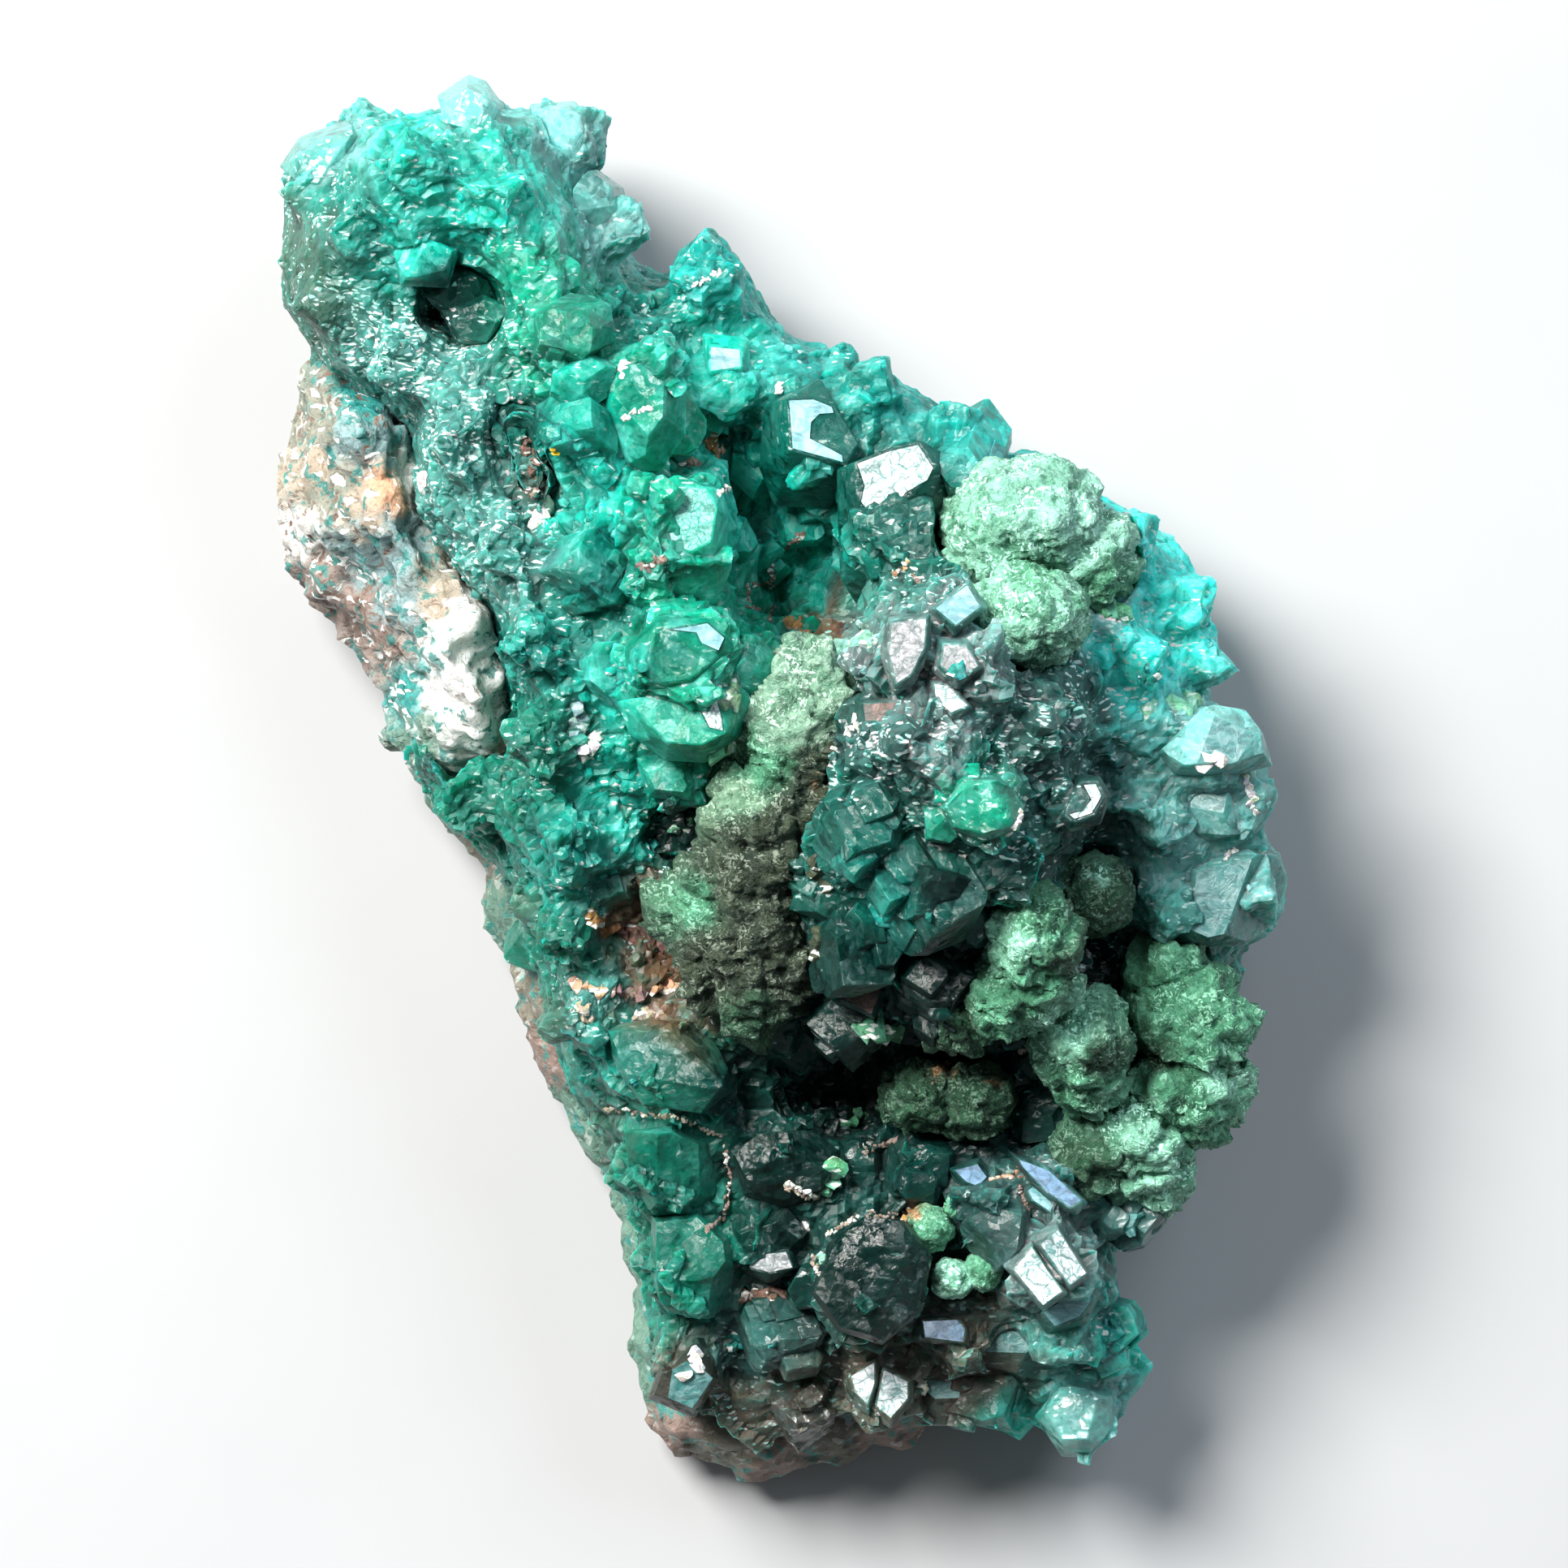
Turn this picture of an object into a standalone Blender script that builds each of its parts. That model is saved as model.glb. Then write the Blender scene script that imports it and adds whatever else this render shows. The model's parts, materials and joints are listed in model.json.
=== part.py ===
"""Dioptase crystals on host rock, with malachite growths on the dioptase.

The specimen lies on its back. +X runs to the right and +Y to the knob at its upper end,
+Z goes up out of the crystal face, and the host rock rests on z = 0.
Every length in this file is in millimetres and is turned into metres where a mesh is made.
"""

import math
import random

import bmesh
import bpy
import numpy as np
from mathutils import Matrix, Vector, geometry, noise

MM = 0.001
OBJECT_NAME = "dioptase_on_host_rock"

# Driving dimensions
GAP = 0.36  # between two minerals
CRUST_STEP = 1.5  # size of the facets of the crystal crust
ROCK_STEP = 2.0  # size of the facets of the broken rock
UNDERSIDE_STEP = 3.4
CRUST_ROUNDING = 2.4  # width over which the crust rises from its edge
ROCK_ROUNDING = 2.6
UNDERSIDE_ROUNDING = 4.5  # width over which the rock curves up from the resting face
EDGE_SHARE = 0.4  # height of the widest level, as a share of the height beside it
CRUST_LIFT = 0.5  # the crust's lowest level, clear of what the rock rests on
ROCK_TOP = 4.0  # top of the rock where crystals cover it
CUT_DEPTH = 1.0  # how far a cutting shape reaches below the resting face
CRUST_ROUGHNESS = 0.45
ROCK_ROUGHNESS = 0.25
MALACHITE_ROUGHNESS = 0.14
MALACHITE_LUMPS = 2.0  # how many times the lumps repeat across a ball's half width
ROUGHNESS_FADE = 1.0  # width beside an edge over which roughness fades out

# Points of an uneven sheet, as shares of its step
POINT_WANDER = 0.45
INNER_MARGIN = 0.95  # from the outline to the inner points
RING_INSET = 0.5  # from the outline's corners to the ring of points beside it
RING_MARGIN = 0.4
POINT_SEED = 6

MERGE_WITHIN = 1e-5

# Colour, roughness and transmission of each mineral
MINERALS = {
    "host_rock": ((0.42, 0.33, 0.27), 0.55, 0.0),
    "dioptase": ((0.0, 0.32, 0.24), 0.18, 0.3),
    "malachite": ((0.13, 0.33, 0.2), 0.6, 0.0),
}

# Dioptase's crystal form: six prism faces, and three rhombohedron faces at each end
PRISM_FACES = 6
RHOMB_FACES = 3
RHOMB_TILT = math.radians(51)  # from the crystal's axis to the normal of a rhombohedron face
TIP_REACH = 0.95  # from a crystal's middle to its tip, as a share of its length
SEAT = 0.25  # how far its middle lies below its given place, as a share of its length

# Outline of the crystal crust from the left end of the knob, clockwise
CRUST_OUTLINE = [
    (-20.1, 19.0), (-20.0, 20.5), (-19.9, 23.2), (-19.3, 25.2), (-17.0, 26.2), (-16.5, 26.7),
    (-15.9, 26.5), (-13.7, 26.65), (-12.3, 27.75), (-11.7, 27.6), (-10.8, 26.7), (-9.6, 26.85),
    (-8.0, 26.8), (-7.05, 25.1), (-7.25, 24.2), (-6.4, 23.5), (-5.9, 22.3), (-5.95, 20.9),
    (-4.6, 20.1), (-4.1, 20.9), (-3.0, 21.45), (-1.7, 21.0), (-0.6, 19.1), (0.3, 18.0),
    (1.5, 17.5), (2.9, 16.6), (4.7, 16.2), (6.8, 14.7), (9.0, 13.35), (10.0, 13.45),
    (12.3, 11.9), (15.2, 10.1), (16.1, 9.1), (17.1, 6.4), (17.4, 6.0), (16.8, 3.2), (17.9, 3.0),
    (18.85, 1.15), (19.4, 0.6), (19.2, -1.9), (19.85, -3.1), (20.1, -5.0), (19.4, -6.0),
    (18.4, -6.65), (18.1, -9.0), (17.7, -10.8), (18.0, -11.7), (16.3, -14.2), (15.1, -14.95),
    (15.4, -15.7), (15.1, -16.8), (13.3, -18.4), (13.25, -19.6), (13.65, -20.7), (14.5, -23.0),
    (14.2, -23.7), (13.5, -24.1), (13.2, -25.3), (12.1, -26.75), (11.2, -26.75), (10.2, -25.65),
    (8.5, -25.65), (5.8, -25.7), (4.8, -25.2), (3.4, -25.1), (2.0, -25.9), (-1.0, -26.3),
    (-2.6, -26.0), (-4.6, -25.0), (-5.5, -23.0), (-5.7, -20.0), (-6.2, -17.0), (-7.0, -14.8),
    (-8.7, -12.4), (-9.5, -9.6), (-9.9, -7.8), (-10.9, -5.2), (-11.3, -3.6), (-13.2, -1.9),
    (-14.2, -0.6), (-15.2, 1.2), (-15.2, 2.2), (-13.4, 1.9), (-11.8, 1.0), (-11.3, 3.3),
    (-11.9, 5.0), (-12.8, 7.4), (-14.2, 9.2), (-15.0, 10.8), (-14.9, 13.2), (-16.3, 14.8),
    (-18.2, 15.9), (-19.1, 17.5),
]

# Outline of the host rock: its free edge on the left and below, then its hidden edge
ROCK_OUTLINE = [
    (-19.2, 16.3), (-19.7, 12.8), (-20.15, 12.0), (-19.95, 10.0), (-19.0, 7.3), (-17.5, 6.1),
    (-15.85, 3.8), (-15.5, 1.6), (-14.7, 0.4), (-14.2, -1.0), (-12.3, -3.0), (-11.8, -4.0),
    (-12.1, -4.6), (-11.8, -5.6), (-10.7, -7.5), (-10.7, -8.3), (-9.7, -11.5), (-8.2, -13.8),
    (-7.0, -15.4), (-6.5, -18.5), (-6.1, -20.0), (-6.0, -22.5), (-5.4, -25.5), (-4.3, -26.6),
    (-2.9, -27.0), (-1.2, -27.85), (0.1, -27.5), (1.5, -27.0), (2.5, -27.15), (3.6, -26.1),
    (4.8, -26.3), (5.9, -25.5), (7.0, -23.5), (10.5, -21.0), (11.0, -16.0), (13.0, -12.5),
    (15.0, -8.0), (15.8, -4.0), (15.5, 1.0), (14.0, 6.0), (9.0, 10.0), (3.0, 13.5),
    (-2.0, 16.5), (-8.0, 19.0), (-11.0, 22.5), (-15.5, 22.0), (-17.0, 18.5),
]

# Heights of the crust: x, y, height, reach
CRUST_HEIGHTS = {
    "knob": [
        (-17.5, 24.5, 13.0, 2.0), (-14.5, 23.6, 17.5, 3.0), (-11.0, 24.0, 17.0, 2.5),
        (-8.6, 24.6, 13.0, 1.8), (-17.2, 20.6, 14.5, 2.4), (-7.4, 21.6, 12.5, 1.6),
        (-9.8, 20.6, 17.0, 1.8), (-14.0, 21.2, 16.5, 1.8),
    ],
    "left wall": [
        (-16.6, 17.6, 14.0, 2.0), (-14.6, 16.4, 15.0, 2.0), (-12.8, 14.4, 16.0, 2.2),
        (-12.2, 11.2, 16.0, 2.2), (-10.6, 7.6, 16.5, 2.0), (-9.2, 4.0, 16.5, 2.2),
        (-9.4, 0.4, 15.5, 2.4), (-12.6, -0.4, 11.5, 2.0), (-8.8, -3.2, 14.5, 2.2),
        (-10.4, -4.4, 11.0, 1.5), (-8.0, -7.0, 12.5, 1.8), (-7.6, -10.4, 12.0, 1.8),
        (-6.6, -13.6, 10.5, 1.6), (-5.4, -17.4, 9.5, 1.6), (-4.9, -21.6, 8.0, 1.6),
    ],
    "clefts": [
        (-14.9, 19.9, 10.5, 0.8), (-13.4, 19.2, 9.0, 1.0), (-12.1, 18.1, 10.0, 0.9),
        (-10.4, 15.4, 10.5, 0.7), (-10.1, 13.8, 9.5, 0.7), (-9.8, 12.0, 10.5, 0.8),
        (-9.4, 10.4, 12.5, 0.7),
    ],
    "inner column": [
        (-9.6, 17.8, 17.5, 1.2), (-8.0, 16.0, 18.0, 1.2), (-7.4, 13.0, 17.5, 1.3),
        (-5.2, 14.8, 16.0, 1.5), (-6.6, 9.6, 17.0, 1.6), (-4.2, 9.4, 17.0, 1.8),
        (-7.0, 6.4, 16.0, 1.4), (-4.0, 4.2, 17.5, 2.2), (-6.8, 2.4, 15.5, 1.4),
        (-4.2, 0.4, 15.0, 1.3), (-6.6, -1.0, 14.0, 1.3),
    ],
    "upper right wall": [
        (-5.6, 18.4, 12.5, 1.4), (-3.0, 20.0, 11.5, 1.6), (-3.0, 17.2, 10.5, 1.4),
        (0.4, 16.4, 12.0, 1.5), (3.8, 14.8, 12.5, 1.5), (7.6, 12.8, 13.5, 1.4),
        (10.6, 12.0, 13.5, 1.6), (1.4, 13.4, 11.5, 1.3), (4.6, 10.8, 13.0, 1.8),
    ],
    "vug": [
        (-2.8, 13.8, 9.5, 1.1), (-1.2, 11.0, 7.8, 1.2), (0.8, 9.0, 7.0, 1.5),
        (-0.8, 7.4, 7.4, 1.1), (1.6, 6.6, 8.0, 1.1), (2.2, 3.2, 10.5, 0.8),
    ],
    "shoulder": [
        (9.6, 9.4, 14.5, 2.0), (13.2, 9.2, 13.5, 1.8), (15.6, 6.4, 12.0, 1.6),
        (12.8, 6.0, 15.0, 1.6), (13.4, 3.4, 14.0, 1.5), (9.6, 6.2, 17.5, 1.5),
    ],
    "middle lump": [
        (5.0, 5.4, 20.0, 1.8), (7.4, 3.4, 21.5, 2.0), (4.2, 1.8, 20.5, 1.8),
        (7.4, -0.6, 21.5, 2.0), (3.6, -2.4, 19.5, 1.8), (6.0, -4.4, 19.0, 1.8),
        (10.4, 2.4, 18.5, 1.6), (10.2, -1.6, 17.5, 1.5), (2.6, -6.4, 17.0, 1.6),
        (5.2, -8.0, 15.5, 1.6), (8.6, -7.4, 16.0, 1.5),
    ],
    "ridge": [
        (0.6, 4.0, 16.5, 1.0), (-0.4, 0.8, 16.5, 1.3), (-1.2, -3.0, 16.5, 1.4),
        (-1.8, -6.0, 15.5, 1.3), (-0.4, -9.0, 13.5, 1.3),
    ],
    "pits beside the ridge": [
        (-3.9, -1.7, 8.5, 0.9), (-2.9, -2.2, 9.5, 0.7), (-5.6, -5.8, 11.0, 1.3),
        (-4.8, -8.6, 11.0, 1.4),
    ],
    "right block": [
        (15.8, 1.4, 13.5, 1.6), (17.4, -1.4, 12.0, 1.6), (18.0, -4.2, 10.5, 1.6),
        (15.0, -2.6, 12.0, 1.5), (15.8, -5.6, 10.5, 1.3), (12.6, 0.8, 12.5, 1.0),
        (12.2, -2.6, 10.5, 0.9), (12.2, -6.8, 8.0, 1.1),
    ],
    "lower right": [
        (16.2, -9.0, 10.0, 1.6), (15.4, -12.4, 9.5, 1.6), (12.6, -12.4, 10.0, 1.4),
        (10.4, -10.8, 11.0, 1.3), (13.2, -15.4, 9.0, 1.5),
    ],
    "hollow": [
        (2.6, -11.8, 6.2, 1.4), (0.8, -11.2, 8.5, 0.9), (5.6, -11.6, 9.0, 1.1),
        (8.2, -11.8, 9.0, 1.1), (9.6, -13.2, 9.0, 0.9),
    ],
    "lower blocks": [
        (-4.6, -11.4, 12.0, 1.7), (-1.6, -12.0, 10.0, 1.1), (-4.2, -15.2, 10.5, 1.6),
        (0.2, -14.8, 10.5, 1.6), (-3.4, -19.0, 9.5, 1.6), (-0.4, -18.2, 9.5, 1.4),
        (3.4, -19.2, 11.0, 2.0), (3.6, -15.4, 10.0, 1.3), (7.4, -16.4, 11.0, 1.7),
        (10.4, -16.2, 10.5, 1.5), (10.2, -19.0, 11.0, 1.6), (6.8, -19.6, 10.0, 1.4),
        (7.2, -22.2, 8.5, 1.5), (11.4, -22.0, 8.0, 1.5), (0.0, -22.0, 8.0, 1.6),
        (3.6, -23.8, 7.5, 1.5), (-2.6, -24.0, 6.5, 1.5), (11.8, -25.0, 6.5, 1.3),
        (8.4, -24.6, 6.5, 1.3), (0.6, -25.2, 6.0, 1.2),
    ],
}

# Heights of the rock: the bare band on the left flank, the free edge, and the covered floor
ROCK_HEIGHTS = {
    "band": [
        (-18.4, 13.6, 9.0, 1.6), (-16.6, 13.4, 12.5, 1.5), (-18.2, 10.4, 8.5, 1.6),
        (-16.2, 10.2, 12.5, 1.6), (-17.2, 7.8, 8.0, 1.4), (-14.8, 8.0, 12.0, 1.5),
        (-15.2, 5.2, 9.0, 1.3), (-13.0, 5.6, 13.5, 1.4), (-14.0, 2.8, 9.0, 1.2),
        (-12.2, 2.8, 13.0, 1.3),
    ],
    "edge": [
        (-13.6, -1.4, 5.6, 0.8), (-11.5, -4.8, 5.6, 0.9), (-10.2, -8.4, 5.4, 0.9),
        (-9.0, -12.2, 5.2, 0.9), (-6.6, -17.0, 5.0, 0.8), (-5.7, -22.6, 4.8, 0.8),
        (-3.6, -26.2, 4.8, 1.0), (0.2, -26.8, 4.8, 1.0), (3.2, -26.0, 4.6, 0.9),
    ],
    "covered floor": [
        (-15.0, 18.4, ROCK_TOP, 2.0), (-11.4, 13.6, ROCK_TOP, 1.6), (-9.6, 8.4, ROCK_TOP, 1.6),
        (-8.4, 3.4, ROCK_TOP, 1.6), (-9.8, -0.6, ROCK_TOP, 1.4), (-4.0, 14.0, ROCK_TOP, 4.0),
        (3.0, 6.0, ROCK_TOP, 4.0), (8.0, 0.0, ROCK_TOP, 4.0), (-3.0, -4.0, ROCK_TOP, 3.5),
        (5.0, -9.0, ROCK_TOP, 4.0), (-2.0, -14.0, ROCK_TOP, 3.5), (2.0, -21.0, ROCK_TOP, 4.0),
    ],
}

# Crystals that stand out of the crust: x, y and z of the place, width, length,
# direction and lean of the axis from +Z, and turn about it, in degrees
CRYSTALS = {
    "knob": [
        (-12.1, 25.0, 8.5, 2.6, 4.0, 90, 75, 10), (-8.6, 25.0, 10.0, 3.2, 4.0, 60, 45, 0),
        (-7.3, 22.0, 10.5, 2.6, 4.2, 350, 50, 15), (-16.4, 25.2, 8.5, 2.2, 3.4, 100, 70, 20),
        (-18.2, 23.4, 9.0, 2.2, 3.2, 165, 55, 5), (-14.2, 23.8, 17.0, 2.8, 3.0, 120, 25, 12),
        (-11.2, 22.6, 16.6, 2.6, 2.8, 30, 20, 40), (-16.6, 21.4, 14.4, 2.4, 2.8, 170, 35, 25),
        (-12.0, 25.2, 15.0, 2.2, 2.6, 80, 40, 50), (-17.8, 18.8, 12.4, 2.2, 2.8, 190, 40, 30),
    ],
    "left wall": [
        (-15.0, 16.2, 14.6, 2.4, 2.6, 200, 30, 10), (-12.6, 13.0, 15.8, 2.4, 2.6, 160, 25, 35),
        (-11.0, 9.2, 16.0, 2.2, 2.6, 220, 30, 20), (-9.8, 5.4, 16.4, 2.4, 2.8, 180, 20, 45),
        (-9.4, 1.6, 15.6, 2.6, 3.0, 200, 25, 15), (-8.4, -2.4, 14.6, 2.6, 3.0, 150, 20, 30),
        (-12.4, -0.6, 10.8, 2.2, 2.8, 210, 45, 5), (-8.6, -5.8, 12.8, 2.2, 2.6, 200, 30, 50),
        (-7.6, -9.4, 11.8, 2.4, 2.8, 190, 35, 25),
    ],
    "inner column": [
        (-5.3, 14.8, 15.2, 2.8, 5.6, 80, 40, 20), (-8.2, 17.4, 16.6, 2.6, 3.4, 60, 20, 5),
        (-7.9, 13.8, 16.6, 2.4, 3.0, 320, 20, 33), (-4.3, 9.6, 15.9, 4.4, 5.2, 250, 18, 12),
        (-7.4, 8.4, 15.8, 2.8, 3.2, 180, 20, 40), (-3.9, 4.3, 16.6, 5.0, 5.6, 310, 22, 8),
        (-6.6, 4.4, 15.4, 2.6, 3.0, 190, 30, 22), (-4.0, 0.6, 14.2, 2.6, 3.6, 270, 30, 0),
    ],
    "upper right wall": [
        (-3.0, 19.9, 10.4, 3.0, 3.6, 100, 40, 15), (-2.3, 16.0, 10.4, 2.6, 4.4, 270, 40, 30),
        (-1.2, 13.0, 8.6, 2.0, 3.6, 285, 30, 10), (1.3, 13.8, 11.2, 3.6, 4.8, 260, 32, 5),
        (4.4, 10.4, 12.0, 4.6, 7.0, 285, 28, 14), (7.2, 12.4, 13.0, 2.2, 3.2, 250, 35, 40),
        (3.4, 15.4, 11.6, 2.4, 3.0, 70, 40, 20), (6.6, 13.8, 11.8, 2.4, 3.0, 55, 40, 0),
    ],
    "vug": [
        (0.6, 10.6, 7.4, 2.2, 3.0, 240, 30, 20), (-1.4, 8.8, 7.4, 1.8, 2.8, 20, 35, 0),
        (3.0, 6.8, 8.6, 2.4, 3.4, 270, 40, 35),
    ],
    "shoulder": [
        (15.4, 7.0, 11.2, 2.6, 3.2, 40, 40, 20), (13.4, 9.4, 12.4, 2.4, 3.2, 60, 40, 0),
        (13.8, 4.8, 13.6, 2.2, 2.8, 20, 30, 45), (16.3, 4.6, 10.6, 2.0, 2.8, 10, 50, 10),
    ],
    "middle lump": [
        (4.8, 5.0, 20.2, 3.4, 3.6, 110, 20, 10), (7.4, 4.4, 20.8, 3.0, 3.2, 60, 20, 35),
        (5.4, 1.6, 21.0, 4.0, 4.2, 200, 15, 22), (7.6, -0.9, 21.8, 3.0, 3.4, 300, 12, 8),
        (3.0, -1.8, 19.4, 3.2, 3.4, 240, 25, 40), (5.6, -4.2, 18.8, 3.8, 3.8, 265, 25, 15),
        (9.6, 2.4, 19.0, 2.8, 3.2, 10, 30, 50), (10.8, -0.8, 17.4, 2.4, 2.8, 350, 35, 25),
        (2.8, -6.4, 16.6, 3.2, 3.6, 250, 30, 5), (5.8, -7.8, 15.6, 3.0, 3.4, 280, 35, 28),
        (2.6, -9.0, 13.4, 2.6, 3.2, 260, 40, 45), (6.4, 7.0, 19.6, 2.0, 2.6, 45, 25, 60),
        (8.6, -3.4, 18.6, 2.8, 3.2, 320, 30, 12),
    ],
    "right block": [
        (16.6, 1.4, 12.4, 3.6, 3.8, 60, 20, 10), (17.6, -0.9, 11.2, 2.8, 3.6, 20, 35, 32),
        (17.4, -3.8, 9.6, 4.2, 4.4, 340, 40, 5), (14.8, -1.4, 12.2, 2.6, 3.2, 150, 25, 48),
        (15.4, -4.8, 10.8, 2.8, 3.2, 250, 30, 18),
    ],
    "lower blocks": [
        (-4.6, -11.2, 10.6, 4.4, 4.8, 200, 18, 10), (-4.6, -15.2, 9.6, 3.8, 4.4, 180, 22, 40),
        (-3.8, -19.0, 8.8, 3.8, 4.2, 190, 20, 15), (-3.6, -22.4, 7.2, 3.2, 3.6, 210, 30, 30),
        (0.2, -15.0, 9.8, 3.4, 3.8, 90, 20, 22), (-0.8, -17.8, 9.2, 2.6, 3.2, 240, 25, 0),
        (3.3, -19.5, 10.4, 4.6, 5.2, 260, 18, 12), (0.0, -21.4, 8.0, 3.0, 3.4, 230, 25, 44),
        (7.9, -16.9, 10.6, 3.2, 3.8, 60, 20, 20), (5.4, -15.0, 9.6, 2.6, 3.2, 120, 25, 36),
        (10.4, -15.6, 10.2, 2.8, 3.2, 40, 25, 8), (10.3, -18.9, 10.8, 3.8, 4.0, 330, 18, 26),
        (11.0, -21.6, 8.8, 3.0, 3.4, 300, 28, 52), (13.2, -16.6, 8.6, 2.8, 3.4, 20, 40, 14),
        (12.7, -21.4, 7.4, 2.2, 3.0, 350, 45, 38), (3.8, -23.8, 6.8, 3.0, 3.6, 265, 30, 18),
        (6.8, -21.8, 8.4, 2.8, 3.2, 280, 25, 4), (7.8, -24.0, 6.2, 2.8, 3.4, 290, 40, 46),
        (11.6, -24.4, 5.6, 3.0, 4.4, 280, 65, 20), (0.8, -24.4, 6.0, 2.8, 3.2, 260, 40, 33),
    ],
}

# Malachite: x, y, z of the middle of each ball, and its half width along X, Y and Z
MALACHITE = {
    "malachite_upper_mounds": [
        (9.5, 10.2, 14.6, 2.9, 2.4, 3.2), (11.8, 8.8, 13.8, 1.8, 1.9, 2.4),
        (9.5, 6.5, 17.2, 2.0, 1.8, 3.2), (7.7, 9.8, 13.8, 1.5, 1.9, 2.6),
    ],
    "malachite_dark_ball": [(12.1, -4.4, 12.6, 1.45, 1.5, 1.9)],
    "malachite_middle_lumps": [
        (9.7, -6.0, 17.0, 1.4, 1.9, 2.4), (8.6, -8.3, 15.6, 1.7, 1.3, 2.1),
        (9.8, -7.6, 16.0, 1.3, 1.3, 2.0), (6.8, -9.3, 14.6, 1.1, 0.9, 1.5),
    ],
    "malachite_lower_lump": [
        (11.6, -10.1, 12.8, 1.6, 1.8, 2.6), (11.9, -11.4, 12.0, 1.3, 1.2, 2.0),
    ],
    "malachite_right_lumps": [
        (16.0, -9.4, 10.2, 2.0, 1.9, 2.4), (15.6, -12.0, 9.8, 1.9, 1.8, 2.4),
        (13.9, -13.7, 10.0, 1.5, 1.5, 2.3), (14.1, -15.2, 9.2, 1.4, 1.2, 1.8),
        (12.3, -14.6, 9.9, 1.3, 1.1, 1.8), (15.2, -7.4, 10.0, 1.2, 1.1, 1.7),
    ],
    "malachite_twin_balls": [
        (5.3, -12.2, 10.6, 1.35, 1.3, 2.1), (7.4, -12.4, 10.6, 1.4, 1.3, 2.1),
    ],
    "malachite_beads": [
        (6.6, -19.4, 10.8, 0.8, 0.75, 1.0), (7.8, -19.1, 10.7, 0.75, 0.75, 0.95),
    ],
    "malachite_bead": [(5.7, -17.4, 11.0, 0.95, 0.85, 1.1)],
}

# The sage-green crust along the ridge left of the middle lump
RIDGE_OUTLINE = [
    (-0.5, 4.6), (0.6, 5.4), (1.6, 4.9), (2.3, 3.6), (1.8, 1.6), (1.5, -0.4), (0.7, -2.6),
    (0.3, -5.0), (0.7, -7.2), (0.1, -9.2), (-1.5, -9.6), (-2.9, -8.2), (-3.9, -6.6),
    (-4.2, -4.8), (-3.6, -3.3), (-2.4, -2.4), (-2.3, -0.6), (-2.5, 0.9), (-1.5, 2.8),
]
RIDGE_HEIGHTS = {
    "crest": [
        (0.7, 4.0, 17.6, 1.0), (0.4, 1.6, 18.2, 1.2), (-0.4, -0.8, 18.0, 1.2),
        (-1.0, -3.2, 17.8, 1.2), (-2.0, -5.0, 17.2, 1.3), (-1.4, -7.2, 16.4, 1.2),
        (-1.0, -8.8, 14.8, 1.0),
    ],
    "sides": [
        (-1.6, 1.0, 16.4, 0.7), (-3.4, -5.6, 15.4, 0.8), (0.2, -5.6, 16.6, 0.7),
        (0.9, -1.4, 17.2, 0.7), (-2.4, -7.6, 14.8, 0.7),
    ],
}
RIDGE_THICKNESS = 2.2
RIDGE_EDGE = 1.1  # height of the ridge crust's edge above its underside
RIDGE_ROUNDING = 1.2
RIDGE_STEP = 1.0
RIDGE_ROUGHNESS = 0.35

# Crystals around the flank of the crust
FLANK_SPACING = 2.6
FLANK_WIDTHS = (2.4, 3.4)
FLANK_LEANS = (55, 80)
FLANK_LEVELS = (0.3, 0.8)  # as a share of the height beside the edge
FLANK_INSET = 1.9
FLANK_RELIEF_INSET = 3.0  # where the height beside the edge is read
FLANK_SEED = 5
BARE_BAND = ((-21.0, -10.0), (-2.0, 16.5))  # no flank crystals along the bare rock: x and y

BALL_DETAIL = 3
POCKET_DETAIL = 2
BALL_GAP = 0.5  # wider, because a pocket has larger facets than its ball
BEAD_WIDTH = 1.0
CRUST_SHARE = 0.38  # share of the facets that stay once the crystals are joined
MALACHITE_SHARE = 0.36


def clear_scene():
    for item in list(bpy.data.objects):
        bpy.data.objects.remove(item, do_unlink=True)


def make_collection(name, rendered):
    made = bpy.data.collections.new(name)
    made.hide_render = not rendered
    bpy.context.scene.collection.children.link(made)
    return made


def make_material(name):
    color, roughness, transmission = MINERALS[name]
    made = bpy.data.materials.new(name)
    made.use_nodes = True
    shader = made.node_tree.nodes["Principled BSDF"]
    shader.inputs["Base Color"].default_value = (*color, 1.0)
    shader.inputs["Roughness"].default_value = roughness
    shader.inputs["Metallic"].default_value = 0.0
    shader.inputs["Transmission Weight"].default_value = transmission
    made.diffuse_color = (*color, 1.0)
    return made


def make_object(name, mesh_data, collection, material=None):
    """An object from a bmesh in millimetres."""
    bmesh.ops.recalc_face_normals(mesh_data, faces=mesh_data.faces)
    bmesh.ops.scale(mesh_data, vec=(MM, MM, MM), verts=mesh_data.verts)
    mesh = bpy.data.meshes.new(name)
    mesh_data.to_mesh(mesh)
    mesh_data.free()
    made = bpy.data.objects.new(name, mesh)
    collection.objects.link(made)
    if material:
        mesh.materials.append(material)
    if collection.hide_render:
        made.hide_render = True
        made.display_type = "WIRE"
    return made


def edge_distance(points, outline):
    """Distance from each point to the nearest side of the outline."""
    start = np.array(outline)
    side = np.roll(start, -1, axis=0) - start
    to_point = points[:, None, :] - start[None, :, :]
    along = (to_point * side).sum(axis=2) / (side * side).sum(axis=1)
    nearest = to_point - np.clip(along, 0.0, 1.0)[:, :, None] * side
    return np.sqrt((nearest**2).sum(axis=2)).min(axis=1)


def is_inside(points, outline):
    x, y = points[:, 0], points[:, 1]
    inside = np.zeros(len(points), dtype=bool)
    for (x0, y0), (x1, y1) in zip(outline, outline[1:] + outline[:1]):
        crosses = (y0 > y) != (y1 > y)
        if y1 != y0:
            inside ^= crosses & (x < (x1 - x0) * (y - y0) / (y1 - y0) + x0)
    return inside


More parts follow.
